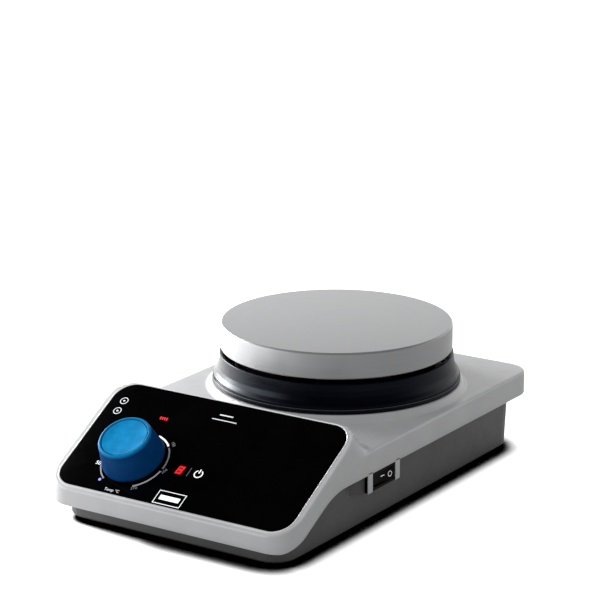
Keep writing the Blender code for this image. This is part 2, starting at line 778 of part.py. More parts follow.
def knob_profile():
    """(radius, height) points down the knob's outer side, from its recessed top to its hollow underside."""
    rise = KNOB_HEIGHT + KNOB_LIFT
    return [
        (0.0, rise - 2.4 * MM),
        (13.9 * MM, rise - 2.4 * MM),
        (13.9 * MM, rise - 0.3 * MM),
        (14.3 * MM, rise),
        (14.9 * MM, rise - 0.15 * MM),
        (15.4 * MM, rise - 0.6 * MM),
        (KNOB_TOP_RADIUS, rise - 1.4 * MM),
        (KNOB_BASE_RADIUS, KNOB_LIFT + 1.6 * MM),
        (KNOB_BASE_RADIUS - 0.4 * MM, KNOB_LIFT + 0.4 * MM),
        (KNOB_BASE_RADIUS - 1.0 * MM, KNOB_LIFT),
        (KNOB_BASE_RADIUS - 2.6 * MM, KNOB_LIFT),
        (KNOB_BASE_RADIUS - 4.2 * MM, rise - 6.0 * MM),
        (6.5 * MM, rise - 6.0 * MM),
        (6.5 * MM, KNOB_LIFT + 3.0 * MM),
        (SHAFT_RADIUS + 0.1 * MM, KNOB_LIFT + 3.0 * MM),
        (SHAFT_RADIUS + 0.1 * MM, rise - 5.0 * MM),
        (0.0, rise - 5.0 * MM),
    ]


def make_knob():
    """The knob's origin is on its shaft's axis, at the panel's face."""
    knob = turned("knob", knob_profile(), ROUND)
    finish_part(knob, "knob", "knob_blue")
    rise = KNOB_HEIGHT + KNOB_LIFT
    cap_profile = [
        (0.0, rise - 0.9 * MM),
        (6.0 * MM, rise - 0.75 * MM),
        (11.0 * MM, rise - 0.35 * MM),
        (13.2 * MM, rise - 0.2 * MM),
        (13.6 * MM, rise - 0.5 * MM),
        (13.6 * MM, rise - 2.1 * MM),
        (0.0, rise - 2.1 * MM),
    ]
    cap = turned("knob_cap", cap_profile, ROUND)
    finish_part(cap, "knob_cap", "knob_blue")
    shaft = cylinder("potentiometer_shaft", SHAFT_RADIUS, -13.0 * MM, rise - 5.3 * MM)
    finish_part(shaft, "potentiometer_shaft", "aluminium")
    for piece in (knob, cap, shaft):
        piece.matrix_world = fascia_matrix(KNOB_U, KNOB_V)


def make_potentiometer():
    inner_face = -PANEL_SEAT - WALL
    body = turned(
        "potentiometer_body",
        [
            (3.8 * MM, -PANEL_SEAT + 2.0 * MM),
            (3.8 * MM, inner_face - GAP),
            (8.5 * MM, inner_face - GAP),
            (8.5 * MM, -13.6 * MM),
            (SHAFT_RADIUS + 0.1 * MM, -13.6 * MM),
            (SHAFT_RADIUS + 0.1 * MM, -PANEL_SEAT + 2.0 * MM),
        ],
        SMALL_ROUND,
        closed=True,
    )
    finish_part(body, "potentiometer_body", "steel")
    nut = cylinder("potentiometer_nut", 6.8 * MM, 0.3 * MM - PANEL_SEAT, 2.3 * MM - PANEL_SEAT, segments=6)
    bore = cylinder("nut_bore", 3.9 * MM, -PANEL_SEAT - 1 * MM, 1 * MM)
    cut(nut, bore)
    finish_part(nut, "potentiometer_nut", "steel")
    for piece in (body, nut, bore):
        piece.matrix_world = fascia_matrix(KNOB_U, KNOB_V)


def make_control_board():
    board = box("control_board", (-54 * MM, -26 * MM, -15.6 * MM), (50 * MM, 26 * MM, -14.0 * MM))
    board.data.transform(fascia_matrix())
    finish_part(board, "control_board", "board_green")
    u, v, _, _ = DISPLAY_WINDOW
    front = -PANEL_SEAT - WALL - GAP
    module = box("display_module", (-6 * MM, -9.5 * MM, -13.7 * MM), (6 * MM, 9.5 * MM, front))
    module.data.transform(fascia_matrix(u, v))
    finish_part(module, "display_module", "satin_black")


# ---------------------------------------------------------------- mains switch


def make_switch():
    low = SWITCH_TOP - SWITCH_HEIGHT
    middle = (low + SWITCH_TOP) / 2
    half = SWITCH_WIDTH / 2
    body = box("switch_body", (77.4 * MM, SWITCH_Y - half, low), (SWITCH_FACE, SWITCH_Y + half, SWITCH_TOP))
    core = box(
        "switch_core",
        (SWITCH_BACK, SWITCH_Y - half + 0.8 * MM, low + 0.6 * MM),
        (78.0 * MM, SWITCH_Y + half - 0.8 * MM, SWITCH_TOP - 0.6 * MM),
    )
    join(body, core)
    room = ROCKER_HALF_LENGTH + 0.6 * MM
    high = ROCKER_HEIGHT / 2 + GAP
    cut(
        body,
        box(
            "switch_well",
            (71.0 * MM, SWITCH_Y - room, middle - high),
            (SWITCH_FACE + 5 * MM, SWITCH_Y + room, middle + high),
        ),
    )
    cut(body, cylinder("switch_pivot_hole", 1.25 * MM, middle - 4.2 * MM, middle + 4.2 * MM, rocker_pivot()))
    finish_part(body, "switch_body", "satin_black")
    crown = 3.9 * MM
    tip = (crown + 0.6 * MM, ROCKER_HALF_LENGTH - 0.4 * MM)
    outline = [
        (crown, 0.0),
        tip,
        (1.4 * MM, ROCKER_HALF_LENGTH),
        (-2.4 * MM, 3.2 * MM),
        (-2.4 * MM, -3.2 * MM),
        (1.4 * MM, -ROCKER_HALF_LENGTH),
        (tip[0], -tip[1]),
    ]
    rocker = plate("switch_rocker", outline, ROCKER_HEIGHT)
    pins = cylinder("rocker_pins", 0.9 * MM, -4.0 * MM, 4.0 * MM, segments=16)
    join(rocker, pins)
    finish_part(rocker, "switch_rocker", "satin_black")
    for piece in (rocker, pins):
        piece.location = (*rocker_pivot(), middle)
        piece.rotation_euler = (0.0, 0.0, -ROCKER_TILT)


def rocker_pivot():
    return (ROCKER_PIVOT_X, SWITCH_Y)


# ---------------------------------------------------------------- mains inlet


def inlet_face():
    return BASE_BACK + GAP + INLET_FLANGE[1]


def make_inlet():
    """A three-pin appliance inlet with a fuse drawer beside it, let into the back wall."""
    face = inlet_face()
    width, _, height = INLET_FLANGE
    flange = box(
        "inlet_socket",
        (INLET_X - width / 2, BASE_BACK + GAP, INLET_Z - height / 2),
        (INLET_X + width / 2, face, INLET_Z + height / 2),
    )
    width, depth, height = INLET_BODY
    core = box(
        "inlet_core",
        (INLET_X - width / 2, face - depth, INLET_Z - height / 2),
        (INLET_X + width / 2, face - 1 * MM, INLET_Z + height / 2),
    )
    join(flange, core)
    width, depth, height = SOCKET_RECESS
    corner = 5.0 * MM
    recess = [
        (-width / 2, -height / 2),
        (width / 2, -height / 2),
        (width / 2, height / 2 - corner),
        (width / 2 - corner, height / 2),
        (-width / 2 + corner, height / 2),
        (-width / 2, height / 2 - corner),
    ]
    upright = Matrix.Rotation(pi / 2, 4, "X")
    place = Matrix.Translation((INLET_X + SOCKET_X, face - depth / 2 + 2 * MM, INLET_Z))
    cut(flange, plate("inlet_recess", recess, depth + 4 * MM, place @ upright))
    for name, x, z in pin_places():
        half = (PIN_SIZE[0] / 2 + 0.15 * MM, PIN_SIZE[2] / 2 + 0.15 * MM)
        slot = box(
            f"inlet_slot_{name}", (x - half[0], face - 40 * MM, z - half[1]), (x + half[0], face, z + half[1])
        )
        cut(flange, slot)
    wide, tall = (side / 2 + GAP for side in DRAWER_FACE)
    x = INLET_X + DRAWER_X
    pocket = box(
        "inlet_drawer_pocket",
        (x - wide, face - DRAWER_DEPTH - GAP, INLET_Z - tall),
        (x + wide, face + 5 * MM, INLET_Z + tall),
    )
    cut(flange, pocket)
    finish_part(flange, "inlet_socket", "satin_black")


def pin_places():
    x = INLET_X + SOCKET_X
    return [
        ("line", x - 7.0 * MM, INLET_Z - 2.0 * MM),
        ("neutral", x + 7.0 * MM, INLET_Z - 2.0 * MM),
        ("earth", x, INLET_Z + 2.0 * MM),
    ]


def make_pins():
    face = inlet_face()
    for name, x, z in pin_places():
        half = (PIN_SIZE[0] / 2, PIN_SIZE[2] / 2)
        far = face - 2.5 * MM
        pin = box(
            f"inlet_pin_{name}",
            (x - half[0], far - PIN_SIZE[1] - 6 * MM, z - half[1]),
            (x + half[0], far, z + half[1]),
        )
        bevel(pin, 0.4 * MM, 1)
        finish_part(pin, f"inlet_pin_{name}", "brass")


def make_fuse_drawer():
    face = inlet_face()
    x = INLET_X + DRAWER_X
    wide, tall = (side / 2 for side in DRAWER_FACE)
    drawer = box(
        "fuse_drawer",
        (x - wide, face - DRAWER_DEPTH, INLET_Z - tall),
        (x + wide, face + 1.2 * MM, INLET_Z + tall),
    )
    cut(
        drawer,
        box(
            "drawer_tray",
            (x - wide + 1.5 * MM, face - DRAWER_DEPTH - 2 * MM, INLET_Z - tall + 1.5 * MM),
            (x + wide - 1.5 * MM, face - 1.5 * MM, INLET_Z + tall + 2 * MM),
        ),
    )
    cut(
        drawer,
        box(
            "drawer_finger_slot",
            (x - 3 * MM, face - 0.2 * MM, INLET_Z + tall - 3 * MM),
            (x + 3 * MM, face + 3 * MM, INLET_Z + tall + 2 * MM),
        ),
    )
    finish_part(drawer, "fuse_drawer", "satin_black")
    fuse = cylinder("fuse", 2.5 * MM, -8.2 * MM, 8.2 * MM, segments=16)
    fuse.data.transform(axis_matrix((x, face - 10.5 * MM, INLET_Z - tall + 4.4 * MM), (0, 1, 0)))
    finish_part(fuse, "fuse", "glass")


# ---------------------------------------------------------------- power electronics

POWER_BOARD_LOW = (-52 * MM, -44 * MM, 12.0 * MM)
POWER_BOARD_HIGH = (28 * MM, 34 * MM, 13.6 * MM)


def board_posts():
    inset = 5 * MM
    xs = (POWER_BOARD_LOW[0] + inset, POWER_BOARD_HIGH[0] - inset)
    ys = (POWER_BOARD_LOW[1] + inset, POWER_BOARD_HIGH[1] - inset)
    return [(x, y) for x in xs for y in ys]


def make_power_board():
    finish_part(box("power_board", POWER_BOARD_LOW, POWER_BOARD_HIGH), "power_board", "board_green")
    top = POWER_BOARD_HIGH[2] + GAP
    transformer = box("transformer", (-46 * MM, -38 * MM, top), (-14 * MM, -6 * MM, top + 22 * MM))
    bevel(transformer, 1.5 * MM, 2)
    finish_part(transformer, "transformer", "satin_black")
    sink = box("triac_heat_sink", (-46 * MM, 4 * MM, top), (-16 * MM, 28 * MM, top + 16 * MM))
    for i in range(4):
        x = (-41.5 + 6.3 * i) * MM
        cut(sink, box(f"sink_gap_{i}", (x, 0.0, top + 3 * MM), (x + 3.6 * MM, 35 * MM, top + 30 * MM)))
    finish_part(sink, "triac_heat_sink", "aluminium")
    block = box("terminal_block", (2 * MM, 8 * MM, top), (24 * MM, 20 * MM, top + 12 * MM))
    for i in range(3):
        x = (5.5 + 6.5 * i) * MM
        wire_hole = box(
            f"terminal_hole_{i}", (x - 1.7 * MM, 14 * MM, top + 3 * MM), (x + 1.7 * MM, 25 * MM, top + 7 * MM)
        )
        cut(block, wire_hole)
    finish_part(block, "terminal_block", "board_green")


def make_earth_screw():
    """Fixes the earth lead to the plate's support ring, under the deck opening's edge."""
    x, y = 30 * MM, 96 * MM
    screw = turned(
        "earth_screw",
        [
            (0.0, DECK_TOP - WALL - GAP),
            (2.0 * MM, DECK_TOP - WALL - GAP),
            (2.0 * MM, 36.5 * MM),
            (3.6 * MM, 36.5 * MM),
            (3.6 * MM, 34.0 * MM),
            (0.0, 34.0 * MM),
        ],
        16,
        centre=(x, y),
    )
    finish_part(screw, "earth_screw", "brass")


def mm_points(*points):
    return [tuple(value * MM for value in point) for point in points]


def make_leads():
    """Insulated leads between the inlet, the switch, the power board and the heater."""
    top = 1000 * POWER_BOARD_HIGH[2]
    block_y = 21.5
    lead(
        "heater_lead_line",
        mm_points(
            (5.5, block_y, top + 5.3),
            (5.5, 27, top + 7),
            (6, 34, 28),
            (12, 42, 36),
            (12, 44, 44),
            (12, 44, 54.2),
        ),
        1.1 * MM,
        "lead_brown",
    )
    lead(
        "heater_lead_neutral",
        mm_points(
            (12, block_y, top + 5.3),
            (12.5, 29, top + 6),
            (2, 40, 26),
            (-10, 46, 36),
            (-12, 46, 44),
            (-12, 46, 54.2),
        ),
        1.1 * MM,
        "lead_blue",
    )
    lead(
        "neutral_lead",
        mm_points(
            (36.5, 95.5, 16),
            (36, 86, 16),
            (33, 60, 15),
            (28, 36, 18),
            (18.5, 28, 18.9),
            (18.5, block_y, top + 5.3),
        ),
        1.1 * MM,
        "lead_blue",
    )
    lead(
        "switch_lead_in",
        mm_points(
            (22.5, 95.5, 16),
            (26, 84, 12),
            (40, 50, 10),
            (50, 0, 12),
            (50, -28, 22),
            (59.2, -31, 26.3),
        ),
        1.1 * MM,
        "lead_brown",
    )
    lead(
        "switch_lead_out",
        mm_points(
            (59.2, -43, 26.3),
            (52, -46, 26),
            (44, -40, 22),
            (34, -24, 20),
            (24, -16, 18),
            (20, -12, 15.2),
        ),
        1.1 * MM,
        "lead_brown",
    )
    lead(
        "earth_lead",
        mm_points(
            (29.5, 95.5, 20),
            (29, 88, 21),
            (28, 82, 26),
            (29, 86, 32),
            (30, 90.4, 35),
            (30, 91.6, 35.2),
        ),
        1.1 * MM,
        "lead_earth",
    )


def build():
    clear_scene()
    make_upper_housing()
    make_base_cover()
    make_feet_and_screws()
    make_rating_plate()
    make_plate_stack()
    make_collar()
    make_control_panel()
    make_lenses()
    make_knob()
    make_potentiometer()
    make_control_board()
    make_switch()
    make_inlet()
    make_pins()
    make_fuse_drawer()
    make_power_board()
    make_earth_screw()
    make_leads()


build()
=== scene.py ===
"""Laboratory heating plate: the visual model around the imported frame, with a studio floor, light and camera."""

import json
from math import cos, hypot, pi, radians, sin, sqrt, tan

import bmesh
import bpy
import numpy as np
from mathutils import Matrix, Vector
from mathutils.geometry import delaunay_2d_cdt


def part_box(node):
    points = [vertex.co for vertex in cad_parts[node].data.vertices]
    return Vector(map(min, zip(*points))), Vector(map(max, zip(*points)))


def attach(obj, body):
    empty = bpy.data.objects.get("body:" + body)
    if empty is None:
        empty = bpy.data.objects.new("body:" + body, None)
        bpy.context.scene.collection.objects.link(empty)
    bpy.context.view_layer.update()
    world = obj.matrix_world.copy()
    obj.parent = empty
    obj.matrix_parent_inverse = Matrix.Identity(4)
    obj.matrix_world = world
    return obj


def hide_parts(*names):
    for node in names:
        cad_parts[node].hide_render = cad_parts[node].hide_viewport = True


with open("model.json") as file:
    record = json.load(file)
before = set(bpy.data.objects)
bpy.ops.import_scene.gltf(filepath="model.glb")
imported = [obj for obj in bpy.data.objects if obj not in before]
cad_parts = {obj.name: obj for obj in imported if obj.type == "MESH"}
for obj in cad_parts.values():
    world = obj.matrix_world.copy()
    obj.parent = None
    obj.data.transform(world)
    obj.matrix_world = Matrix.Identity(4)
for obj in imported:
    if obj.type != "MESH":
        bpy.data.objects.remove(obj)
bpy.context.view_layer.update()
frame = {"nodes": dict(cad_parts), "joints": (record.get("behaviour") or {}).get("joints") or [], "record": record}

MM = 0.001

# ---------------------------------------------------------------- camera

CAMERA_PLACE = (0.7736, -1.1682, 0.5006)
CAMERA_YAW = 33.47
CAMERA_PITCH = -15.69
CAMERA_LENS = 154.3

camera_data = bpy.data.cameras.new("camera")
camera_data.sensor_width = 36.0
camera_data.lens = CAMERA_LENS
camera_data.clip_end = 50.0
camera = bpy.data.objects.new("camera", camera_data)
camera.location = CAMERA_PLACE
camera.rotation_euler = (radians(90.0 + CAMERA_PITCH), 0.0, radians(CAMERA_YAW))
bpy.context.scene.collection.objects.link(camera)
bpy.context.scene.camera = camera

# ---------------------------------------------------------------- frame dimensions

HOUSING_LOW, HOUSING_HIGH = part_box("upper_housing")
PLATE_LOW, PLATE_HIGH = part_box("heating_plate")
COLLAR_LOW, COLLAR_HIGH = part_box("heat_shield_collar")
SWITCH_LOW, SWITCH_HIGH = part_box("switch_body")
HALF_WIDTH = HOUSING_HIGH.x
FRONT = HOUSING_LOW.y
BACK = HOUSING_HIGH.y
PLATE_Y = (PLATE_LOW.y + PLATE_HIGH.y) / 2
DECK = 47.2 * MM
LIP_BOTTOM = 33.6 * MM
FRONT_LIP_BOTTOM = 10.7 * MM
LIP_BEND = -87.5 * MM
LIP_SLOPE_END = -128.7 * MM
CORNER = 16.0 * MM
WALL = 3.0 * MM

FASCIA_SLOPE = radians(30.3)
FASCIA_CENTRE = Vector((0.0, -95.6 * MM, 41.85 * MM))
PANEL_WIDTH = 154.6 * MM
PANEL_SLANT = 78.6 * MM
PANEL_CORNER = 12.5 * MM
CREST = PANEL_SLANT / 2 + 0.9 * MM
CREST_CORNER = 13.0 * MM
FLANK_SLOPE = tan(radians(52.0))
PLINTH = 51.0 * MM
GAP = 0.3 * MM
EAR_FRONT = -54.2 * MM
EAR_REAR = -21.4 * MM
EAR_BOTTOM = 22.9 * MM


def joint_place(name):
    return Vector(next(joint for joint in frame["joints"] if joint["name"] == name)["pos_m"])


KNOB_PLACE = joint_place("knob_turn")
KNOB_V = -12.8 * MM
OPENING = 45.0 * MM
SEAT_HALF_WIDTH = PANEL_WIDTH / 2 + 0.25 * MM
SEAT_HALF_SLANT = PANEL_SLANT / 2 + 0.25 * MM

# ---------------------------------------------------------------- materials


class Nodes:
    """A short way to write a material's node tree."""

    def __init__(self, name):
        self.material = bpy.data.materials.new(name)
        self.material.use_nodes = True
        self.tree = self.material.node_tree
        self.shader = self.tree.nodes["Principled BSDF"]
        self.material.cycles.emission_sampling = "NONE"

    def add(self, kind, **values):
        node = self.tree.nodes.new(kind)
        for key, value in values.items():
            if key in node.inputs:
                node.inputs[key].default_value = value
            else:
                setattr(node, key, value)
        return node

    def link(self, start, end):
        self.tree.links.new(start, end)

    def place(self):
        return self.add("ShaderNodeTexCoord").outputs["Object"]

    def noise(self, vector, scale, detail=2.0, roughness=0.5):
        node = self.add("ShaderNodeTexNoise", Scale=scale, Detail=detail, Roughness=roughness)
        self.link(vector, node.inputs["Vector"])
        return node.outputs["Fac"]

    def spread(self, value, low, high, start=0.3, end=0.7):
        node = self.add("ShaderNodeMapRange")
        node.inputs["From Min"].default_value = start
        node.inputs["From Max"].default_value = end
        node.inputs["To Min"].default_value = low
        node.inputs["To Max"].default_value = high
        self.link(value, node.inputs["Value"])
        return node.outputs["Result"]

    def blend(self, factor, first, second):
        node = self.add("ShaderNodeMix", data_type="RGBA")
        node.inputs[6].default_value = (*first, 1.0)
        node.inputs[7].default_value = (*second, 1.0)
        self.link(factor, node.inputs["Factor"])
        return node.outputs[2]

    def bump(self, height, distance, strength):
        node = self.add("ShaderNodeBump", Strength=strength, Distance=distance)
        self.link(height, node.inputs["Height"])
        self.link(node.outputs["Normal"], self.shader.inputs["Normal"])


def moulded(
    name, dark, light, roughness, grain, depth, metallic=0.0, specular=0.5, mottling=60.0, tint=(1.0, 1.0, 1.0)
):
    """Plastic, paint or plain metal with a fine surface grain, faint mottling and an uneven gloss."""
    nodes = Nodes(name)
    place = nodes.place()
    tone = nodes.spread(nodes.noise(place, mottling, 3.0), 0.0, 1.0)
    nodes.link(nodes.blend(tone, dark, light), nodes.shader.inputs["Base Color"])
    gloss = nodes.spread(nodes.noise(place, mottling * 4, 4.0), roughness * 0.88, roughness * 1.12)
    nodes.link(gloss, nodes.shader.inputs["Roughness"])
    nodes.bump(nodes.noise(place, grain, 2.0), depth, 0.6)
    nodes.shader.inputs["Metallic"].default_value = metallic
    nodes.shader.inputs["Specular IOR Level"].default_value = specular
    nodes.shader.inputs["Specular Tint"].default_value = (*tint, 1.0)
    return nodes.material


def turned_metal(name, centre, colour, roughness, pitch, depth, metallic):
    """Metal with fine machining rings about a vertical axis, in its relief, colour and gloss."""
    nodes = Nodes(name)
    shift = nodes.add("ShaderNodeVectorMath", operation="SUBTRACT")
    shift.inputs[1].default_value = (centre[0], centre[1], 0.0)
    nodes.link(nodes.place(), shift.inputs[0])
    flat = nodes.add("ShaderNodeVectorMath", operation="MULTIPLY")
    flat.inputs[1].default_value = (1.0, 1.0, 0.0)
    nodes.link(shift.outputs["Vector"], flat.inputs[0])
    length = nodes.add("ShaderNodeVectorMath", operation="LENGTH")
    nodes.link(flat.outputs["Vector"], length.inputs[0])
    split = nodes.add("ShaderNodeSeparateXYZ")
    nodes.link(shift.outputs["Vector"], split.inputs["Vector"])
    join = nodes.add("ShaderNodeCombineXYZ")
    nodes.link(length.outputs["Value"], join.inputs["X"])
    nodes.link(split.outputs["Z"], join.inputs["Y"])
    rings = nodes.noise(join.outputs["Vector"], 1.0 / pitch, 3.0, 0.7)
    grain = nodes.noise(nodes.place(), 900.0, 2.0)
    mixed = nodes.add("ShaderNodeMath", operation="MULTIPLY_ADD")
    nodes.link(grain, mixed.inputs[0])
    mixed.inputs[1].default_value = 0.35
    nodes.link(rings, mixed.inputs[2])
    nodes.bump(mixed.outputs["Value"], depth, 0.5)
    dark = tuple(0.9 * c for c in colour)
    nodes.link(nodes.blend(nodes.spread(rings, 0.0, 1.0), dark, colour), nodes.shader.inputs["Base Color"])
    nodes.link(nodes.spread(rings, roughness * 0.85, roughness * 1.15), nodes.shader.inputs["Roughness"])
    nodes.shader.inputs["Metallic"].default_value = metallic
    return nodes.material


def lit(name, colour, strength):
    """A mark with a faintly uneven glow: a lit one, or a printed one whose glow is painted light."""
    nodes = Nodes(name)
    tone = nodes.spread(nodes.noise(nodes.place(), 800.0), 0.75, 1.0)
    mix = nodes.add("ShaderNodeMath", operation="MULTIPLY")
    nodes.link(tone, mix.inputs[0])
    mix.inputs[1].default_value = strength
    nodes.link(mix.outputs["Value"], nodes.shader.inputs["Emission Strength"])
    dark = tuple(0.85 * c for c in colour)
    nodes.link(nodes.blend(tone, dark, colour), nodes.shader.inputs["Base Color"])
    nodes.shader.inputs["Emission Color"].default_value = (*colour, 1.0)
    nodes.shader.inputs["Roughness"].default_value = 0.4
    return nodes.material


def knob_paint(name, side, rim):
    """Soft-touch blue, with painted shade down the side and a painted highlight round the rim of the knob."""
    nodes = Nodes(name)
    place = nodes.place()
    along = nodes.add("ShaderNodeVectorMath", operation="DOT_PRODUCT")
    axis = Vector((0.0, -sin(FASCIA_SLOPE), cos(FASCIA_SLOPE)))
    along.inputs[1].default_value = axis
    nodes.link(place, along.inputs[0])
    foot = KNOB_PLACE.dot(axis) - (KNOB_PLACE - FASCIA_CENTRE).dot(axis)
    # Painted light: the colour blends from the shaded side colour to the lit rim colour near the knob's top.
    height = nodes.spread(along.outputs["Value"], 0.0, 1.0, foot + 17.0 * MM, foot + 18.4 * MM)
    mottled = nodes.add("ShaderNodeMath", operation="MULTIPLY_ADD")
    nodes.link(nodes.spread(nodes.noise(place, 160.0, 3.0), -0.5, 0.5), mottled.inputs[0])
    mottled.inputs[1].default_value = 0.12
    nodes.link(height, mottled.inputs[2])
    mottled.use_clamp = True
    nodes.link(nodes.blend(mottled.outputs["Value"], side, rim), nodes.shader.inputs["Base Color"])
    nodes.link(nodes.spread(nodes.noise(place, 500.0, 3.0), 0.34, 0.46), nodes.shader.inputs["Roughness"])
    nodes.bump(nodes.noise(place, 2600.0, 2.0), 0.00001, 0.5)
    nodes.shader.inputs["Specular IOR Level"].default_value = 0.03
    return nodes.material


LOOKS = {
    "casing_paint": moulded(
        "look_casing_paint", (0.290, 0.293, 0.298), (0.312, 0.315, 0.320), 0.33, 420.0, 0.000008
    ),
    "base_plastic": moulded(
        "look_base_plastic", (0.038, 0.038, 0.039), (0.046, 0.046, 0.047), 0.42, 700.0, 0.00002, specular=0.5
    ),
    "collar_black": moulded(
        "look_collar_black", (0.0003, 0.0004, 0.0016), (0.0006, 0.0008, 0.0028), 0.32, 500.0, 0.000004,
        specular=0.13, tint=(0.66, 0.78, 1.0),
    ),
    "gloss_black": moulded(
        "look_gloss_black", (0.0006, 0.0006, 0.0012), (0.0012, 0.0012, 0.0024), 0.24, 500.0, 0.000004,
        specular=0.13,
    ),
    "panel_black": moulded(
        "look_panel_black", (0.0004, 0.0004, 0.0005), (0.0008, 0.0008, 0.001), 0.12, 700.0, 0.000002,
        specular=0.12,
    ),
    "satin_black": moulded(
        "look_satin_black", (0.008, 0.008, 0.009), (0.013, 0.013, 0.015), 0.32, 2500.0, 0.00003
    ),
    "switch_black": moulded(
        "look_switch_black", (0.0002, 0.0002, 0.0003), (0.0006, 0.0006, 0.0008), 0.4, 2500.0, 0.00001,
        specular=0.05,
    ),
    # The knob's side colour is painted shade, and its rim colour a painted highlight.
    "knob_blue": knob_paint("look_knob_blue_painted_light", (0.0004, 0.026, 0.100), (0.0008, 0.125, 0.290)),
    # The cap's lighter blue is a painted highlight: a lit copy of the knob's blue.
    "cap_blue": moulded(
        "look_cap_blue_painted_highlight", (0.0006, 0.120, 0.275), (0.0010, 0.180, 0.390), 0.4, 1500.0, 0.00002,
        specular=0.03, mottling=150.0,
    ),
    "aluminium": turned_metal(
        "look_aluminium", (0.0, PLATE_Y), (0.29, 0.293, 0.298), 0.34, 0.0006, 0.00001, 0.55
    ),
    # This look is the casing's paint made lighter: a painted highlight for the bead round the panel.
    "painted_highlight_trim": moulded(
        "look_bright_trim", (0.42, 0.425, 0.43), (0.48, 0.485, 0.49), 0.2, 1500.0, 0.00001, specular=0.6
    ),
    # This look is a painted highlight: lighter than the black collar, for the bead round its foot.
    "painted_sheen_trim": moulded(
        "look_dull_trim", (0.022, 0.024, 0.028), (0.032, 0.034, 0.040), 0.36, 1500.0, 0.00001, specular=0.4
    ),
    "steel": moulded(
        "look_steel", (0.50, 0.50, 0.51), (0.60, 0.60, 0.61), 0.28, 1800.0, 0.00002, metallic=1.0
    ),
    "brass": moulded(
        "look_brass", (0.66, 0.47, 0.19), (0.78, 0.58, 0.27), 0.24, 1500.0, 0.00002, metallic=1.0
    ),
    "mica": moulded(
        "look_mica", (0.008, 0.007, 0.005), (0.018, 0.015, 0.011), 0.6, 1200.0, 0.00005, specular=0.05
    ),
    # The wool is near black as painted shade, so the gap under the plate reads dark.
    "wool": moulded(
        "look_wool", (0.002, 0.002, 0.0025), (0.005, 0.005, 0.006), 0.9, 1500.0, 0.00005, specular=0.0
    ),
    "board_green": moulded(
        "look_board_green", (0.010, 0.110, 0.040), (0.020, 0.150, 0.060), 0.4, 1500.0, 0.00003
    ),
    "rubber": moulded(
        "look_rubber", (0.012, 0.012, 0.012), (0.024, 0.024, 0.024), 0.75, 2600.0, 0.0001, specular=0.3
    ),
    "red_lens": lit("look_red_lens", (0.90, 0.012, 0.008), 0.75),
    # Painted light: the printed white, pale, mid and grey marks and the violet dot glow though they are only print.
    "white_mark": lit("look_white_mark", (0.85, 0.86, 0.88), 0.35),
    "pale_mark": lit("look_pale_mark", (0.55, 0.56, 0.58), 0.15),
    "mid_mark": lit("look_mid_mark", (0.30, 0.31, 0.32), 0.05),
    "grey_mark": lit("look_grey_mark", (0.20, 0.21, 0.22), 0.03),
    "red_mark": lit("look_red_mark", (0.85, 0.006, 0.012), 0.45),
    "dim_red_mark": lit("look_dim_red_mark", (0.30, 0.001, 0.004), 0.35),
    "violet_mark": lit("look_violet_mark", (0.25, 0.24, 0.75), 0.25),
    "glass": moulded("look_glass", (0.70, 0.76, 0.76), (0.80, 0.84, 0.84), 0.08, 900.0, 0.00001),
    "lead_brown": moulded("look_lead_brown", (0.12, 0.045, 0.02), (0.20, 0.08, 0.035), 0.45, 1500.0, 0.00004),
    "lead_blue": moulded("look_lead_blue", (0.012, 0.07, 0.34), (0.02, 0.11, 0.45), 0.45, 1500.0, 0.00004),
    "lead_earth": moulded("look_lead_earth", (0.10, 0.30, 0.03), (0.55, 0.55, 0.05), 0.45, 1500.0, 0.00004),
    "label_silver": moulded(
        "look_label_silver", (0.50, 0.50, 0.51), (0.60, 0.60, 0.61), 0.4, 1500.0, 0.00002, metallic=0.6
    ),
}

for row in frame["record"]["subparts"]:
    cad_object = frame["nodes"][row["node"]]
    for index in range(max(1, len(cad_object.material_slots))):
        if cad_object.material_slots:
            cad_object.material_slots[index].material = LOOKS[row["material_slot"]]
        else:
            cad_object.data.materials.append(LOOKS[row["material_slot"]])

frame["nodes"]["switch_body"].material_slots[0].material = LOOKS["switch_black"]
# Painted shade: the pillars and clamp disc under the plate take the near-black switch colour so the gap under the
# plate reads dark.
for shaded_under_plate in ("plate_pillar_1", "plate_pillar_2", "plate_pillar_3", "element_clamp_disc"):
    frame["nodes"][shaded_under_plate].material_slots[0].material = LOOKS["switch_black"]

# ---------------------------------------------------------------- mesh helpers


def piece(name, verts, faces, look, slot, body="casing", replaces=(), smooth=35.0):
    """A visible piece made from points and faces, riding on a body of the frame."""
    mesh = bpy.data.meshes.new(name)
    mesh.from_pydata([tuple(v) for v in verts], [], [tuple(f) for f in faces])
    clean = bmesh.new()
    clean.from_mesh(mesh)
    bmesh.ops.remove_doubles(clean, verts=clean.verts, dist=1e-7)
    bmesh.ops.recalc_face_normals(clean, faces=clean.faces)
    clean.to_mesh(mesh)
    clean.free()
    return adopt(name, mesh, look, slot, body, replaces, smooth)


def adopt(name, mesh, look, slot, body="casing", replaces=(), smooth=35.0):
    """Gives a finished mesh its material, its shading and its place on a body."""
    mesh.name = name
    mesh.materials.clear()
    mesh.materials.append(LOOKS[look])
    mesh.shade_smooth()
    mesh.set_sharp_from_angle(angle=radians(smooth))
    obj = bpy.data.objects.new(name, mesh)
    bpy.context.scene.collection.objects.link(obj)
    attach(obj, body)
    if replaces:
        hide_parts(*replaces)
    return obj


def rounded_profile(points, steps=5):
    """Rounds the corners of a (radius, height) profile. Each point is (radius, height, corner radius)."""
    out = []
    for i, (x, y, r) in enumerate(points):
        here = Vector((x, y))
        if r <= 0 or i in (0, len(points) - 1):
            out.append(here)
            continue
        before = Vector(points[i - 1][:2]) - here
        after = Vector(points[i + 1][:2]) - here
        angle = before.angle(after)
        reach = min(r / tan(angle / 2), before.length * 0.49, after.length * 0.49)
        start = here + before.normalized() * reach
        end = here + after.normalized() * reach
        for step in range(steps + 1):
            t = step / steps
            out.append(start * (1 - t) ** 2 + here * 2 * t * (1 - t) + end * t * t)
    return out


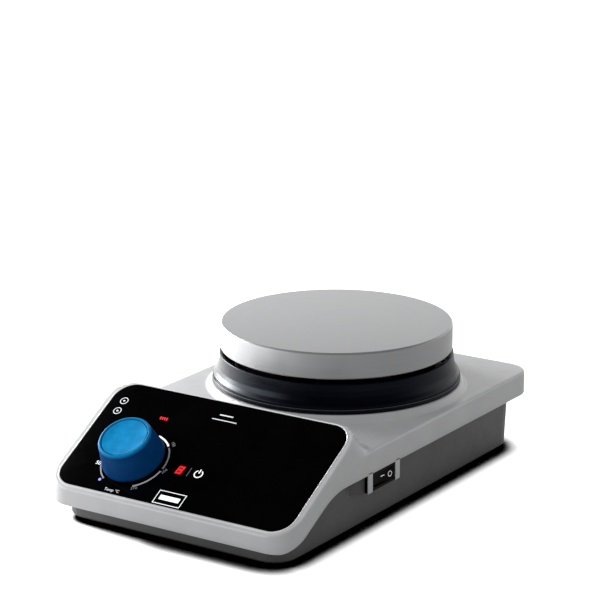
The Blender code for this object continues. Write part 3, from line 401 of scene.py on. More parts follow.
def spun(profile, matrix, segments):
    """Points and faces of a profile turned about local Z. A point at radius 0 becomes one pole."""
    verts = []
    rows = []
    for radius, height in profile:
        if radius < 1e-9:
            rows.append([len(verts)] * segments)
            verts.append(matrix @ Vector((0.0, 0.0, height)))
            continue
        rows.append(list(range(len(verts), len(verts) + segments)))
        for k in range(segments):
            angle = 2 * pi * k / segments
            verts.append(matrix @ Vector((radius * cos(angle), radius * sin(angle), height)))
    faces = []
    for upper, lower in zip(rows, rows[1:]):
        for k in range(segments):
            m = (k + 1) % segments
            quad = [upper[k], lower[k], lower[m], upper[m]]
            face = [v for n, v in enumerate(quad) if v not in quad[:n]]
            if len(face) > 2:
                faces.append(face)
    return verts, faces


def turned(name, points, matrix, look, slot, segments, closed=False, **where):
    """A turned piece. A closed one is a ring, whose profile ends where it starts."""
    if closed:
        loop = rounded_profile([points[-1], *points, points[0]])[1:-1]
        profile = [*loop, loop[0]]
    else:
        profile = rounded_profile(points)
    verts, faces = spun(profile, matrix, segments)
    return piece(name, verts, faces, look, slot, smooth=40.0, **where)


def upright(x, y, z=0.0):
    return Matrix.Translation((x, y, z))


def fascia_matrix(u=0.0, v=0.0, w=0.0):
    """A place on the sloped front: u to the right, v up the slope, w outwards."""
    slope = Matrix.Rotation(FASCIA_SLOPE, 4, "X")
    return Matrix.Translation(FASCIA_CENTRE) @ slope @ Matrix.Translation((u, v, w))


def outline_points(half_width, low, high, radius, pitch=1.5 * MM, arc=14):
    """(x, y, normal x, normal y) round a rounded rectangle, anticlockwise from its lower right corner's end."""
    corners = (
        (half_width - radius, low + radius, -90.0),
        (half_width - radius, high - radius, 0.0),
        (-half_width + radius, high - radius, 90.0),
        (-half_width + radius, low + radius, 180.0),
    )
    ring = []
    for n, (cx, cy, start) in enumerate(corners):
        for step in range(arc + 1):
            angle = radians(start + 90.0 * step / arc)
            ring.append((cx + radius * cos(angle), cy + radius * sin(angle), cos(angle), sin(angle)))
        nx, ny, angle = corners[(n + 1) % 4]
        tip = (nx + radius * cos(radians(angle)), ny + radius * sin(radians(angle)))
        here = ring[-1]
        count = max(1, round(hypot(tip[0] - here[0], tip[1] - here[1]) / pitch))
        for step in range(1, count):
            t = step / count
            ring.append((here[0] + (tip[0] - here[0]) * t, here[1] + (tip[1] - here[1]) * t, here[2], here[3]))
    return ring


def stitch(first, second):
    """Quads between two closed rows of vertex numbers."""
    count = len(first)
    return [(first[i], first[(i + 1) % count], second[(i + 1) % count], second[i]) for i in range(count)]


def slab(name, outline, low, high, matrix, look, slot, edge=0.0, **where):
    """A flat solid from an outline, between two heights, with its upper edge rounded by edge."""
    count = len(outline)
    normals = []
    for i in range(count):
        before, after = Vector(outline[i - 1]), Vector(outline[(i + 1) % count])
        along = (after - before).normalized()
        normals.append(Vector((along.y, -along.x)))
    rings = [[(Vector(p), low) for p in outline]]
    steps = 4 if edge else 0
    rings.append([(Vector(p), high - edge) for p in outline])
    for step in range(1, steps + 1):
        angle = pi / 2 * step / steps
        rings.append(
            [
                (Vector(p) - n * edge * (1 - cos(angle)), high - edge * (1 - sin(angle)))
                for p, n in zip(outline, normals)
            ]
        )
    verts = []
    rows = []
    for ring in rings:
        rows.append(list(range(len(verts), len(verts) + count)))
        verts += [matrix @ Vector((p.x, p.y, z)) for p, z in ring]
    faces = [tuple(reversed(rows[0])), tuple(rows[-1])]
    for lower, upper in zip(rows, rows[1:]):
        faces += stitch(lower, upper)
    return piece(name, verts, faces, look, slot, **where)


def rounded_box(name, low, high, radius, look, slot, **where):
    body = bmesh.new()
    bmesh.ops.create_cube(body, size=1.0)
    size = Vector(high) - Vector(low)
    bmesh.ops.scale(body, vec=size, verts=body.verts)
    bmesh.ops.translate(body, vec=(Vector(low) + Vector(high)) / 2, verts=body.verts)
    bmesh.ops.bevel(
        body, geom=body.edges[:], offset=radius, segments=3, profile=0.5, affect="EDGES", clamp_overlap=True
    )
    mesh = bpy.data.meshes.new(name)
    body.to_mesh(mesh)
    body.free()
    return adopt(name, mesh, look, slot, **where)


# ---------------------------------------------------------------- casing


def smooth_least(a, b, reach):
    """The lesser of two heights, blended within reach of where they cross."""
    h = max(reach - abs(a - b), 0.0) / reach
    return min(a, b) - h * h * reach / 4


def smooth_most(a, b, reach):
    return -smooth_least(-a, -b, reach)


def fascia_height(y):
    return FASCIA_CENTRE.z + (y - FASCIA_CENTRE.y) * tan(FASCIA_SLOPE)


def crest_reach(x):
    """How far up the slope the raised front reaches at a given x. Its upper corners are rounded."""
    past = abs(x) - (HALF_WIDTH - CREST_CORNER)
    if past <= 0:
        return CREST
    past = min(past, CREST_CORNER)
    return CREST - CREST_CORNER + sqrt(CREST_CORNER**2 - past**2)


def surface_height(x, y):
    """The casing's upper surface: the deck, the low plinth and the raised, sloped front."""
    distance = hypot(x, y - PLATE_Y)
    rise = min(max((76.6 * MM - distance) / (4.0 * MM), 0.0), 1.0)
    deck = DECK + (PLINTH - DECK) * rise * rise * (3 - 2 * rise)
    reach = crest_reach(x)
    crest_y = FASCIA_CENTRE.y + reach * cos(FASCIA_SLOPE)
    crest_z = FASCIA_CENTRE.z + reach * sin(FASCIA_SLOPE)
    flank = crest_z - (y - crest_y) * FLANK_SLOPE
    raised = smooth_least(fascia_height(y), flank, 0.8 * MM)
    return smooth_most(raised, deck, 9.0 * MM) if y > -76 * MM else raised


def lip_height(y):
    """Height of the casing's lower edge, level at the sides and sloping down to the front."""
    slope = (LIP_BOTTOM - FRONT_LIP_BOTTOM) / (LIP_BEND - LIP_SLOPE_END)
    sloped = FRONT_LIP_BOTTOM + (y - LIP_SLOPE_END) * slope
    return smooth_most(smooth_least(LIP_BOTTOM, sloped, 6 * MM), FRONT_LIP_BOTTOM, 1 * MM)


def edge_radius(y):
    """The casing's outer edge is rounded least along the sloped front and most on the flank behind it."""
    places = (-76 * MM, -66 * MM, -58 * MM, -48 * MM)
    return float(np.interp(y, places, (1.0 * MM, 2.4 * MM, 2.4 * MM, 1.4 * MM)))


def spaced(start, end, pitch):
    count = max(1, round((end - start) / pitch))
    return [start + (end - start) * i / count for i in range(count + 1)]


def inside_rectangle(x, y, half_width, low, high, radius):
    """How far a point is inside a rounded rectangle."""
    middle = (low + high) / 2
    qx = abs(x) - (half_width - radius)
    qy = abs(y - middle) - ((high - low) / 2 - radius)
    return radius - hypot(max(qx, 0.0), max(qy, 0.0)) - min(max(qx, qy), 0.0)


def build_casing():
    """A closed shell: rows up and over its outer edge, then a flat mesh of its top that leaves out two seats."""
    ring = outline_points(HALF_WIDTH, FRONT, BACK, CORNER)
    count = len(ring)
    verts = []
    rows = []

    def row(offset, height):
        rows.append(list(range(len(verts), len(verts) + count)))
        for x, y, nx, ny in ring:
            px, py = x - nx * offset(y), y - ny * offset(y)
            verts.append((px, py, height(px, py, y)))

    rim = 0.5 * MM
    row(lambda y: WALL, lambda x, y, s: surface_height(x, y) - ceiling(x, y))
    row(lambda y: WALL, lambda x, y, s: lip_height(s))
    row(lambda y: rim, lambda x, y, s: lip_height(s))
    row(lambda y: rim * 0.3, lambda x, y, s: lip_height(s) + rim * 0.3)
    row(lambda y: 0.0, lambda x, y, s: lip_height(s) + rim)
    for t in (0.33, 0.66):
        row(
            lambda y: 0.0,
            lambda x, y, s, t=t: (lip_height(s) + rim) * (1 - t) + (surface_height(x, y) - edge_radius(s)) * t,
        )
    for step in range(7):
        angle = pi / 2 * step / 6
        row(
            lambda y, a=angle: edge_radius(y) * (1 - cos(a)),
            lambda x, y, s, a=angle: surface_height(x, y) - edge_radius(s) * (1 - sin(a)),
        )
    row(lambda y: WALL, lambda x, y, s: surface_height(x, y))
    faces = []
    for lower, upper in zip(rows, rows[1:]):
        faces += stitch(lower, upper)
    inner_row, outer_row = rows[0], rows[-1]

    panel = outline_points(SEAT_HALF_WIDTH, -SEAT_HALF_SLANT, SEAT_HALF_SLANT, PANEL_CORNER, 2 * MM, 12)
    seat_high = FASCIA_CENTRE.y + SEAT_HALF_SLANT * cos(FASCIA_SLOPE)
    seat_xy = [(u, FASCIA_CENTRE.y + v * cos(FASCIA_SLOPE)) for u, v, _, _ in panel]
    circle = [(OPENING * cos(2 * pi * k / 96), PLATE_Y + OPENING * sin(2 * pi * k / 96)) for k in range(96)]

    def seat_depth(x, y):
        """How far a point is inside the panel's seat, seen from above."""
        v = (y - FASCIA_CENTRE.y) / cos(FASCIA_SLOPE)
        return inside_rectangle(x, v, SEAT_HALF_WIDTH, -SEAT_HALF_SLANT, SEAT_HALF_SLANT, PANEL_CORNER)

    lattice = []
    inner_half = HALF_WIDTH - WALL - 0.5 * MM
    for y in spaced(FRONT + WALL + 1 * MM, seat_high, 2 * MM):
        for x in spaced(-inner_half, inner_half, 1.0 * MM):
            if seat_depth(x, y) < -0.4 * MM:
                lattice.append((x, y))
    for y in spaced(seat_high + 0.4 * MM, -30 * MM, 0.7 * MM):
        for x in spaced(-inner_half, inner_half, 1.3 * MM):
            lattice.append((x, y))
    for y in spaced(-29 * MM, BACK - WALL - 1 * MM, 5 * MM):
        for x in spaced(-inner_half, inner_half, 5 * MM):
            away = hypot(x, y - PLATE_Y)
            if not 70 * MM < away < 79 * MM:
                lattice.append((x, y))
    for radius in (71.6, 72.6, 73.1, 73.6, 74.1, 74.6, 75.1, 75.6, 76.1, 76.6, 77.6):
        for k in range(160):
            angle = 2 * pi * k / 160
            lattice.append((radius * MM * cos(angle), PLATE_Y + radius * MM * sin(angle)))
    lattice = [
        (x, y)
        for x, y in lattice
        if inside_rectangle(x, y, HALF_WIDTH - WALL, FRONT + WALL, BACK - WALL, CORNER - WALL) > 0.3 * MM
        and hypot(x, y - PLATE_Y) > OPENING + 0.6 * MM
    ]
    border = [(verts[i][0], verts[i][1]) for i in outer_row]
    flat = border + seat_xy + circle + lattice
    n0, n1 = len(border), len(border) + len(seat_xy)
    edges = [(i, (i + 1) % n0) for i in range(n0)]
    edges += [(n0 + i, n0 + (i + 1) % len(seat_xy)) for i in range(len(seat_xy))]
    edges += [(n1 + i, n1 + (i + 1) % len(circle)) for i in range(len(circle))]
    scaled = [Vector((x * 1000, y * 1000)) for x, y in flat]
    made, _, triangles, origin, _, _ = delaunay_2d_cdt(scaled, edges, [], 0, 1e-5)
    source = [o[0] if o else None for o in origin]
    top = {}
    low = {}
    for i, (place, first) in enumerate(zip(made, source)):
        x, y = place.x / 1000, place.y / 1000
        if first is not None and first < n0:
            top[i], low[i] = outer_row[first], inner_row[first]
            continue
        top[i] = len(verts)
        verts.append((x, y, surface_height(x, y)))
        low[i] = len(verts)
        verts.append((x, y, surface_height(x, y) - ceiling(x, y)))
    index_of = {first: i for i, first in enumerate(source) if first is not None}
    for triangle in triangles:
        x = sum(made[i].x for i in triangle) / 3000
        y = sum(made[i].y for i in triangle) / 3000
        if seat_depth(x, y) > 0:
            faces.append([low[i] for i in reversed(triangle)])
            continue
        if hypot(x, y - PLATE_Y) < OPENING - 0.01 * MM:
            continue
        if inside_rectangle(x, y, HALF_WIDTH - WALL, FRONT + WALL, BACK - WALL, CORNER - WALL) < 0:
            continue
        faces.append([top[i] for i in triangle])
        faces.append([low[i] for i in reversed(triangle)])
    hole = [index_of[n1 + i] for i in range(len(circle))]
    faces += stitch([top[i] for i in hole], [low[i] for i in hole])
    seat = [index_of[n0 + i] for i in range(len(seat_xy))]
    seat_wall = []
    for u, v, _, _ in panel:
        seat_wall.append(len(verts))
        verts.append(fascia_matrix(u, v, -3.0 * MM).translation)
    faces += stitch([top[i] for i in seat], seat_wall)
    faces.append(seat_wall)
    piece("casing_shell", verts, faces, "casing_paint", "casing_paint", replaces=["upper_housing"], smooth=28.0)


def ceiling(x, y):
    """How far the casing's inner surface lies under its upper one."""
    if y < -62 * MM:
        return 8.0 * MM
    if y > -44 * MM:
        return 3.0 * MM
    return (8.0 - 5.0 * (y + 62 * MM) / (18 * MM)) * MM


build_casing()


# ---------------------------------------------------------------- switch ears


def build_ears():
    """Two light strips beside the switch, each with a dark cheek behind it."""
    for name, low, high in (("front", EAR_FRONT, SWITCH_LOW.y - GAP), ("rear", SWITCH_HIGH.y + GAP, EAR_REAR)):
        rounded_box(
            f"switch_ear_{name}",
            (80.6 * MM, low, EAR_BOTTOM),
            (HALF_WIDTH, high, LIP_BOTTOM + 1.5 * MM),
            0.45 * MM,
            "casing_paint",
            "casing_paint",
        )
    inner, outer = 74.0 * MM, 79.0 * MM
    near, far = SWITCH_LOW.y - GAP, SWITCH_HIGH.y + GAP
    front = [(inner, EAR_FRONT - 8.0 * MM), (outer, EAR_FRONT), (outer, near), (inner, near)]
    rear = [(inner, far), (outer, far), (outer, EAR_REAR), (inner, EAR_REAR + 4.0 * MM)]
    for name, corners in (("front", front), ("rear", rear)):
        slab(
            f"switch_cheek_{name}", corners, EAR_BOTTOM, LIP_BOTTOM + 1.5 * MM, Matrix.Identity(4),
            "base_plastic", "base_plastic",
        )


build_ears()

# ---------------------------------------------------------------- panel and its marks


def rectangle_outline(half_width, half_height, radius, arc=10):
    return [(u, v) for u, v, _, _ in outline_points(half_width, -half_height, half_height, radius, 6 * MM, arc)]


def build_panel():
    outline = rectangle_outline(PANEL_WIDTH / 2, PANEL_SLANT / 2, PANEL_CORNER, 16)
    slab(
        "panel_face", outline, -2.7 * MM, -0.1 * MM, fascia_matrix(), "panel_black", "gloss_black",
        edge=0.1 * MM, replaces=["control_panel"],
    )
    ring = outline_points(PANEL_WIDTH / 2, -PANEL_SLANT / 2, PANEL_SLANT / 2, PANEL_CORNER, 4 * MM, 16)
    verts = []
    rows = []
    for k in range(8):
        angle = 2 * pi * k / 8
        rows.append(list(range(len(verts), len(verts) + len(ring))))
        for u, v, nu, nv in ring:
            out = 0.42 * MM * (1 + cos(angle))
            verts.append(fascia_matrix(u + nu * out, v + nv * out, -0.15 * MM + 0.34 * MM * sin(angle)).translation)
    faces = []
    for k in range(8):
        faces += stitch(rows[k], rows[(k + 1) % 8])
    # The bead round the panel is lighter than the casing as a painted highlight along the pocket edge.
    piece("panel_trim", verts, faces, "painted_highlight_trim", "casing_paint", smooth=80.0)


def arc_outline(radius, width, start, end, centre, steps=24):
    outer = []
    inner = []
    for step in range(steps + 1):
        angle = radians(start + (end - start) * step / steps)
        outer.append((centre[0] + (radius + width / 2) * cos(angle), centre[1] + (radius + width / 2) * sin(angle)))
        inner.append((centre[0] + (radius - width / 2) * cos(angle), centre[1] + (radius - width / 2) * sin(angle)))
    return outer + inner[::-1] if end > start else inner + outer[::-1]


def mark(name, outline, look="white_mark", slot="casing_paint", rise=0.05 * MM):
    """A thin raised print on the panel."""
    slab(name, outline, -0.12 * MM, -0.1 * MM + rise, fascia_matrix(), look, slot)


def words(name, text, size, place, turn=0.0, look="grey_mark"):
    """Dial numbers and the unit, as thin raised characters."""
    curve = bpy.data.curves.new(name, "FONT")
    curve.body = text
    curve.size = size
    curve.align_x = "CENTER"
    curve.align_y = "CENTER"
    curve.extrude = 0.03 * MM
    curve.resolution_u = 3
    guide = bpy.data.objects.new(name + "_guide", curve)
    bpy.context.scene.collection.objects.link(guide)
    bpy.context.view_layer.update()
    mesh = bpy.data.meshes.new_from_object(guide.evaluated_get(bpy.context.evaluated_depsgraph_get()))
    bpy.data.objects.remove(guide)
    mesh.transform(fascia_matrix(place[0], place[1], -0.1 * MM) @ Matrix.Rotation(radians(turn), 4, "Z"))
    adopt(name, mesh, look, "casing_paint")


def box_outline(x0, y0, x1, y1):
    return [(x0 * MM, y0 * MM), (x1 * MM, y0 * MM), (x1 * MM, y1 * MM), (x0 * MM, y1 * MM)]


def build_marks():
    """The dial, the lit symbol and digit, the power sign, and plain shapes in place of captions."""
    dial = (KNOB_PLACE.x, KNOB_V)
    radius = 19.8 * MM
    mark("dial_arc_high", arc_outline(radius, 1.1 * MM, 78.0, 45.0, dial))
    mark("dial_arc_upper", arc_outline(radius, 0.9 * MM, 41.0, -5.0, dial), "grey_mark")
    mark("dial_arc_lower", arc_outline(radius, 1.0 * MM, -10.0, -62.0, dial), "mid_mark")
    mark("dial_arc_left", arc_outline(radius, 0.8 * MM, 204.0, 237.0, dial), "grey_mark")
    turns = [2 * pi * k / 20 for k in range(20)]
    dot = [(-49.2 * MM + 0.9 * MM * cos(turn), -30.8 * MM + 0.9 * MM * sin(turn)) for turn in turns]
    mark("dial_start_dot", dot, "violet_mark")
    words("dial_number_50", "50", 3.6 * MM, (-57.0 * MM, -20.1 * MM), look="white_mark")
    words("dial_number_150", "150", 2.6 * MM, (-20.6 * MM, 3.2 * MM), -43.0)
    words("dial_number_250", "250", 2.6 * MM, (-14.8 * MM, -15.8 * MM), 62.0)
    words("dial_number_370", "370", 2.6 * MM, (-25.6 * MM, -31.4 * MM), 26.0)
    words("dial_unit", "Temp °C", 2.7 * MM, (-37.6 * MM, -36.0 * MM), look="pale_mark")
    for k in range(4):
        left, right = [], []
        for step in range(9):
            t = step / 8
            x = (-2.1 + 1.4 * k + 0.28 * sin(2 * pi * t) + 0.25 * (t - 0.5)) * MM
            y = (-1.0 + 2.0 * t) * MM
            left.append((-37.0 * MM + x - 0.28 * MM, 19.2 * MM + y))
            right.append((-37.0 * MM + x + 0.28 * MM, 19.2 * MM + y))
        mark(f"heat_symbol_{k}", right + left[::-1], "red_mark", "red_lens")
    digit = (-6.2 * MM, -12.6 * MM)
    lean = 0.12

    def digit_shape(x0, y0, x1, y1):
        corners = ((x0, y0), (x1, y0), (x1, y1), (x0, y1))
        return [(digit[0] + (x + lean * y) * MM, digit[1] + y * MM) for x, y in corners]

    mark("digit_ground", digit_shape(-1.9, -2.7, 1.9, 2.7), "dim_red_mark", "red_lens", rise=0.03 * MM)
    for k, y in enumerate((-2.7, -0.32, 2.05)):
        mark(f"digit_bar_{k}", digit_shape(-1.7, y, 1.7, y + 0.65), "red_mark", "red_lens")
    for k, (x, y) in enumerate(((-1.9, -2.2), (1.2, -2.2), (-1.9, 0.2), (1.2, 0.2))):
        mark(f"digit_post_{k}", digit_shape(x, y, x + 0.7, y + 2.0), "red_mark", "red_lens")
    mark("divider", box_outline(-0.32, -15.8, -0.08, -9.6), "grey_mark")
    power = (6.0 * MM, -12.6 * MM)
    mark("power_ring", arc_outline(2.45 * MM, 0.65 * MM, 120.0, 420.0, power, 40))
    bar = [(-0.33, 0.4), (0.33, 0.4), (0.33, 3.3), (-0.33, 3.3)]
    mark("power_bar", [(power[0] + x * MM, power[1] + y * MM) for x, y in bar])
    for k, corners in enumerate(((-5.4, 29.6, 3.4, 30.4), (-8.6, 26.1, 7.7, 26.7))):
        mark(f"blank_caption_{k}", box_outline(*corners), "pale_mark")
    plate_shapes = (
        (-0.7, -28.5, 17.8, 0.4),
        (-0.7, -37.3, 17.8, 0.4),
        (-9.4, -32.9, 0.4, 8.4),
        (8.0, -32.9, 0.4, 8.4),
        (-0.7, -32.9, 13.0, 3.2),
    )
    for k, (x, y, w, h) in enumerate(plate_shapes):
        mark(f"blank_plate_{k}", box_outline(x - w / 2, y - h / 2, x + w / 2, y + h / 2))
    for k, (x, y) in enumerate(((-68.7, 25.6), (-68.5, 17.8))):
        centre = (x * MM, y * MM)
        mark(f"spare_mark_{k}", arc_outline(2.3 * MM, 0.45 * MM, 0.0, 359.0, centre, 40), "pale_mark")
        mark(f"spare_dot_{k}", arc_outline(0.4 * MM, 0.5 * MM, 0.0, 359.0, centre, 16), "pale_mark")


build_panel()
build_marks()

# ---------------------------------------------------------------- knob


def build_knob():
    """The knob's tapered body is hollow below, and its dished cap sits in its rim."""
    seat = fascia_matrix(KNOB_PLACE.x, KNOB_V)
    rise = 18.6 * MM
    body = [
        (14.6 * MM, 4.0 * MM, 0.0),
        (15.2 * MM, 1.2 * MM, 0.4 * MM),
        (17.7 * MM, 1.2 * MM, 1.0 * MM),
        (18.1 * MM, 3.0 * MM, 1.2 * MM),
        (15.3 * MM, rise - 1.1 * MM, 0.9 * MM),
        (14.5 * MM, rise, 0.8 * MM),
        (13.7 * MM, rise, 0.4 * MM),
        (13.25 * MM, rise - 1.0 * MM, 0.2 * MM),
        (13.25 * MM, rise - 2.1 * MM, 0.0),
        (0.0, rise - 2.2 * MM, 0.0),
        (0.0, rise - 6.0 * MM, 0.0),
        (13.7 * MM, rise - 6.0 * MM, 0.5 * MM),
        (14.6 * MM, 4.0 * MM, 0.0),
    ]
    turned("knob_body", body, seat, "knob_blue", "knob_blue", 160, body="knob", replaces=["knob"])
    cap = [(0.0, rise - 1.0 * MM, 0.0)]
    for k in range(1, 12):
        t = k / 11
        cap.append((12.9 * MM * t, rise - 1.0 * MM + 0.65 * MM * t**3, 0.0))
    cap += [(13.1 * MM, rise - 0.6 * MM, 0.1 * MM), (13.1 * MM, rise - 1.9 * MM, 0.0), (0.0, rise - 1.9 * MM, 0.0)]
    turned("knob_top", cap, seat, "cap_blue", "knob_blue", 160, body="knob", replaces=["knob_cap"])


build_knob()

# ---------------------------------------------------------------- plate and collar


def build_plate():
    low, high, radius = PLATE_LOW.z, PLATE_HIGH.z, PLATE_HIGH.x
    plate = [
        (0.0, high, 0.0),
        (66.7 * MM, high, 0.4 * MM),
        (radius, high - 0.9 * MM, 0.4 * MM),
        (radius, low + 0.6 * MM, 0.3 * MM),
        (radius - 0.6 * MM, low, 0.2 * MM),
        (0.0, low, 0.0),
    ]
    turned("plate_disc", plate, upright(0.0, PLATE_Y), "aluminium", "aluminium", 256, replaces=["heating_plate"])


def build_collar():
    top, foot = COLLAR_HIGH.z, COLLAR_LOW.z
    collar = [
        (66.3 * MM, top, 0.3 * MM),
        (68.1 * MM, top, 0.5 * MM),
        (68.4 * MM, 63.6 * MM, 6 * MM),
        (69.0 * MM, 60.2 * MM, 5 * MM),
        (70.2 * MM, 57.4 * MM, 4 * MM),
        (71.7 * MM, 55.4 * MM, 1.2 * MM),
        (71.9 * MM, 54.4 * MM, 0.3 * MM),
        (71.2 * MM, 54.0 * MM, 0.2 * MM),
        (72.3 * MM, 53.4 * MM, 0.3 * MM),
        (72.3 * MM, foot + 0.2 * MM, 0.2 * MM),
        (68.6 * MM, foot, 0.2 * MM),
        (68.6 * MM, 54.4 * MM, 0.2 * MM),
        (67.2 * MM, 58.8 * MM, 1 * MM),
        (66.3 * MM, 62.8 * MM, 1 * MM),
    ]
    turned(
        "collar_ring", collar, upright(0.0, PLATE_Y), "collar_black", "gloss_black", 256, closed=True,
        replaces=["heat_shield_collar"],
    )
    # The bead round the collar's foot is lighter than the collar as a painted highlight on its edge.
    bead = [
        (71.8 * MM, 53.45 * MM, 0.0),
        (72.3 * MM, 53.45 * MM, 0.15 * MM),
        (72.3 * MM, 53.9 * MM, 0.15 * MM),
        (71.8 * MM, 53.9 * MM, 0.15 * MM),
    ]
    turned("collar_bead", bead, upright(0.0, PLATE_Y), "painted_sheen_trim", "gloss_black", 256, closed=True)


build_plate()
build_collar()

# ---------------------------------------------------------------- switch


def build_switch():
    """The rocker rests with its rear end raised. Its marks stand on the two ends of its face."""
    pivot = joint_place("switch_rock")
    half, height, crown = 8.9 * MM, 3.25 * MM, 3.9 * MM

    def face(y):
        return crown + 0.6 * MM * (abs(y) / half) ** 1.4

    steps = [half * k / 8 for k in range(-8, 9)]
    outline = [(face(y), y) for y in steps] + [(1.4 * MM, 9.3 * MM), (-2.4 * MM, 3.2 * MM), (-2.4 * MM, -3.2 * MM)]
    outline.append((1.4 * MM, -9.3 * MM))
    seat = Matrix.Translation(pivot) @ Matrix.Rotation(radians(-6.0), 4, "Z")
    slab(
        "rocker_key", outline, -height, height, seat, "switch_black", "satin_black",
        edge=0.25 * MM, body="rocker", replaces=["switch_rocker"],
    )
    for name, y, shape in (
        ("rocker_on", 0.7, box_outline(-1.7, 0.1, 1.7, 0.7)),
        ("rocker_off", 6.95, arc_outline(1.45 * MM, 0.45 * MM, 0.0, 359.0, (0.0, 0.0), 32)),
    ):
        lean = 0.6 * 1.4 / 8.9 * (y / 8.9) ** 0.4
        place = seat @ Matrix.Translation((face(y * MM), y * MM, 0.0)) @ Matrix.Rotation(-lean, 4, "Z")
        place = place @ Matrix.Rotation(pi / 2, 4, "Z") @ Matrix.Rotation(pi / 2, 4, "X")
        slab(name, shape, -0.15 * MM, 0.06 * MM, place, "pale_mark", "casing_paint", body="rocker")
    low, high = EAR_BOTTOM + 0.1 * MM, SWITCH_HIGH.z
    outer = rectangle_outline((EAR_REAR - EAR_FRONT) / 2, (high - low) / 2, 0.8 * MM, 4)
    inner = rectangle_outline(9.7 * MM, 3.6 * MM, 0.5 * MM, 4)
    centre = Vector((0.0, (EAR_FRONT + EAR_REAR) / 2, (low + high) / 2))
    lift = pivot.z - centre.z
    shift = (SWITCH_LOW.y + SWITCH_HIGH.y) / 2 - centre.y
    plane = Matrix.Translation(centre) @ Matrix.Rotation(pi / 2, 4, "Z") @ Matrix.Rotation(pi / 2, 4, "X")
    frame_solid("switch_frame", outer, [(u + shift, v + lift) for u, v in inner], 79.0 * MM, 80.6 * MM, plane)


def frame_solid(name, outer, inner, low, high, plane):
    """A flat frame between two outlines of any count, with its faces filled round the hole."""
    flat = [Vector(p) * 1000 for p in outer + inner]
    n0 = len(outer)
    edges = [(i, (i + 1) % n0) for i in range(n0)]
    edges += [(n0 + i, n0 + (i + 1) % len(inner)) for i in range(len(inner))]
    made, _, triangles, origin, _, _ = delaunay_2d_cdt(flat, edges, [], 0, 1e-5)
    hole = flat[n0:]
    low_u, high_u = min(p.x for p in hole), max(p.x for p in hole)
    low_v, high_v = min(p.y for p in hole), max(p.y for p in hole)
    verts = [plane @ Vector((p.x / 1000, p.y / 1000, z)) for z in (low, high) for p in made]
    count = len(made)
    faces = []
    for triangle in triangles:
        u = sum(made[i].x for i in triangle) / 3
        v = sum(made[i].y for i in triangle) / 3
        if low_u < u < high_u and low_v < v < high_v:
            continue
        faces.append(list(reversed(triangle)))
        faces.append([i + count for i in triangle])
    index_of = {sources[0]: i for i, sources in enumerate(origin)}
    for start, size in ((0, n0), (n0, len(inner))):
        row = [index_of[start + i] for i in range(size)]
        faces += stitch(row, [i + count for i in row])
    piece(name, verts, faces, "switch_black", "satin_black")


build_switch()

# ---------------------------------------------------------------- stage and light

# The floor's contact shadow: how far it reaches, and the openness at which it is full and gone.
SHADE_REACH = 13.0 * MM
SHADE_FULL = 0.66
SHADE_GONE = 0.98
# The light that the floor returns to the object, and the glow that shiny surfaces mirror on each side.
FLOOR_LIGHT = {"left": 3.0, "right": 0.16}
GLOW = 1.0
MIRROR = {"left": 0.6, "right": 0.15, "back": 1.3, "front": 0.0, "top": 0.0}
# Each lamp's place, target, size and power.
LAMPS = {
    "key_left": ((-0.9, 0.1, 0.3), (0.0, 0.02, 0.05), (0.45, 0.35), 19.0),
    "rim_left": ((-0.27, -0.1, 0.13), (-0.08, -0.1, 0.03), (0.3, 0.1), 0.6),
    "front_left": ((-0.75, -0.95, 0.45), (0.0, -0.1, 0.03), (0.6, 0.5), 5.5),
}


def build_stage():
    """A white floor with a soft contact shadow under the object, narrower on its left."""
    mesh = bpy.data.meshes.new("floor")
    size = 12.0
    mesh.from_pydata([(-size, -size, 0), (size, -size, 0), (size, size, 0), (-size, size, 0)], [], [(0, 1, 2, 3)])
    floor = bpy.data.objects.new("floor", mesh)
    bpy.context.scene.collection.objects.link(floor)
    nodes = Nodes("floor_white")
    tone = nodes.spread(nodes.noise(nodes.place(), 8.0), 0.97, 1.0)
    across = nodes.add("ShaderNodeSeparateXYZ")
    nodes.link(nodes.place(), across.inputs["Vector"])
    shade = nodes.add("ShaderNodeAmbientOcclusion", samples=16)
    reach = nodes.spread(across.outputs["X"], SHADE_REACH * 0.15, SHADE_REACH, -0.08, 0.0)
    nodes.link(reach, shade.inputs["Distance"])
    open_sky = nodes.spread(shade.outputs["AO"], 0.0, 1.0, SHADE_FULL, SHADE_GONE)
    light = nodes.add("ShaderNodeMath", operation="MULTIPLY")
    nodes.link(tone, light.inputs[0])
    nodes.link(open_sky, light.inputs[1])
    base = nodes.blend(light.outputs["Value"], (0.0, 0.0, 0.0), (0.40, 0.40, 0.40))
    nodes.link(base, nodes.shader.inputs["Base Color"])
    nodes.shader.inputs["Emission Color"].default_value = (1.0, 1.0, 1.0, 1.0)
    returned = nodes.spread(across.outputs["X"], FLOOR_LIGHT["left"], FLOOR_LIGHT["right"], -0.45, 0.0)
    seen = nodes.add("ShaderNodeMix", data_type="FLOAT")
    nodes.link(nodes.add("ShaderNodeLightPath").outputs["Is Camera Ray"], seen.inputs["Factor"])
    nodes.link(returned, seen.inputs[2])
    seen.inputs[3].default_value = 1.0
    glow = nodes.add("ShaderNodeMath", operation="MULTIPLY")
    nodes.link(light.outputs["Value"], glow.inputs[0])
    nodes.link(seen.outputs[0], glow.inputs[1])
    nodes.link(glow.outputs["Value"], nodes.shader.inputs["Emission Strength"])
    nodes.shader.inputs["Roughness"].default_value = 0.9
    nodes.shader.inputs["Specular IOR Level"].default_value = 0.0
    mesh.materials.append(nodes.material)


def area_light(name, place, target, size, power):
    data = bpy.data.lights.new(name, "AREA")
    data.shape = "RECTANGLE"
    data.size, data.size_y = size
    data.energy = power
    light = bpy.data.objects.new(name, data)
    light.location = place
    light.rotation_euler = (Vector(target) - Vector(place)).to_track_quat("-Z", "Y").to_euler()
    bpy.context.scene.collection.objects.link(light)


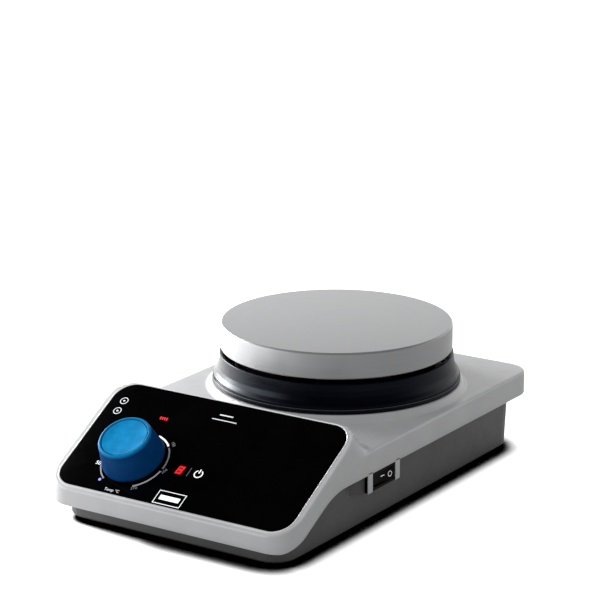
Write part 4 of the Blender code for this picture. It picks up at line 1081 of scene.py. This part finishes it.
def build_world():
    """A soft studio: an even glow for the light, and a shaped one for what shiny surfaces mirror."""
    world = bpy.data.worlds.new("studio")
    bpy.context.scene.world = world
    world.use_nodes = True
    tree = world.node_tree

    def add(kind, **values):
        node = tree.nodes.new(kind)
        for key, value in values.items():
            if key in node.inputs:
                node.inputs[key].default_value = value
            else:
                setattr(node, key, value)
        return node

    def scaled(socket, low, high, start, end):
        node = add("ShaderNodeMapRange", interpolation_type="SMOOTHSTEP")
        for key, value in (("From Min", start), ("From Max", end), ("To Min", low), ("To Max", high)):
            node.inputs[key].default_value = value
        tree.links.new(socket, node.inputs["Value"])
        return node.outputs["Result"]

    def joined(first, second, operation):
        node = add("ShaderNodeMath", operation=operation)
        tree.links.new(first, node.inputs[0])
        tree.links.new(second, node.inputs[1])
        return node.outputs["Value"]

    coordinates = add("ShaderNodeTexCoord")
    split = add("ShaderNodeSeparateXYZ")
    tree.links.new(coordinates.outputs["Generated"], split.inputs["Vector"])
    x, y, z = (split.outputs[name] for name in "XYZ")
    left = scaled(x, MIRROR["left"], 0.0, -1.0, -0.55)
    right = scaled(x, 0.0, MIRROR["right"], 0.1, 0.9)
    back = scaled(y, 0.0, MIRROR["back"], 0.0, 0.8)
    front = scaled(y, MIRROR["front"], 0.0, -0.9, -0.1)
    sides = joined(joined(left, right, "ADD"), joined(back, front, "ADD"), "ADD")
    low = joined(sides, scaled(z, 1.0, 0.0, 0.3, 0.7), "MULTIPLY")
    total = joined(low, scaled(z, 0.0, MIRROR["top"], 0.3, 0.7), "ADD")
    mirrored = tree.nodes["Background"]
    mirrored.inputs["Color"].default_value = (1.0, 1.0, 1.0, 1.0)
    tree.links.new(total, mirrored.inputs["Strength"])
    even = add("ShaderNodeBackground", Strength=GLOW)
    even.inputs["Color"].default_value = (1.0, 1.0, 1.0, 1.0)
    path = add("ShaderNodeLightPath")
    mix = add("ShaderNodeMixShader")
    tree.links.new(path.outputs["Is Glossy Ray"], mix.inputs["Fac"])
    tree.links.new(even.outputs["Background"], mix.inputs[1])
    tree.links.new(mirrored.outputs["Background"], mix.inputs[2])
    backdrop = add("ShaderNodeBackground", Strength=1.0)
    backdrop.inputs["Color"].default_value = (1.0, 1.0, 1.0, 1.0)
    outer = add("ShaderNodeMixShader")
    tree.links.new(path.outputs["Is Camera Ray"], outer.inputs["Fac"])
    tree.links.new(mix.outputs["Shader"], outer.inputs[1])
    tree.links.new(backdrop.outputs["Background"], outer.inputs[2])
    tree.links.new(outer.outputs["Shader"], tree.nodes["World Output"].inputs["Surface"])


build_stage()
build_world()
for lamp_name, (lamp_place, lamp_target, lamp_size, lamp_power) in LAMPS.items():
    area_light(lamp_name, lamp_place, lamp_target, lamp_size, lamp_power)
bpy.context.scene.view_settings.view_transform = "Standard"
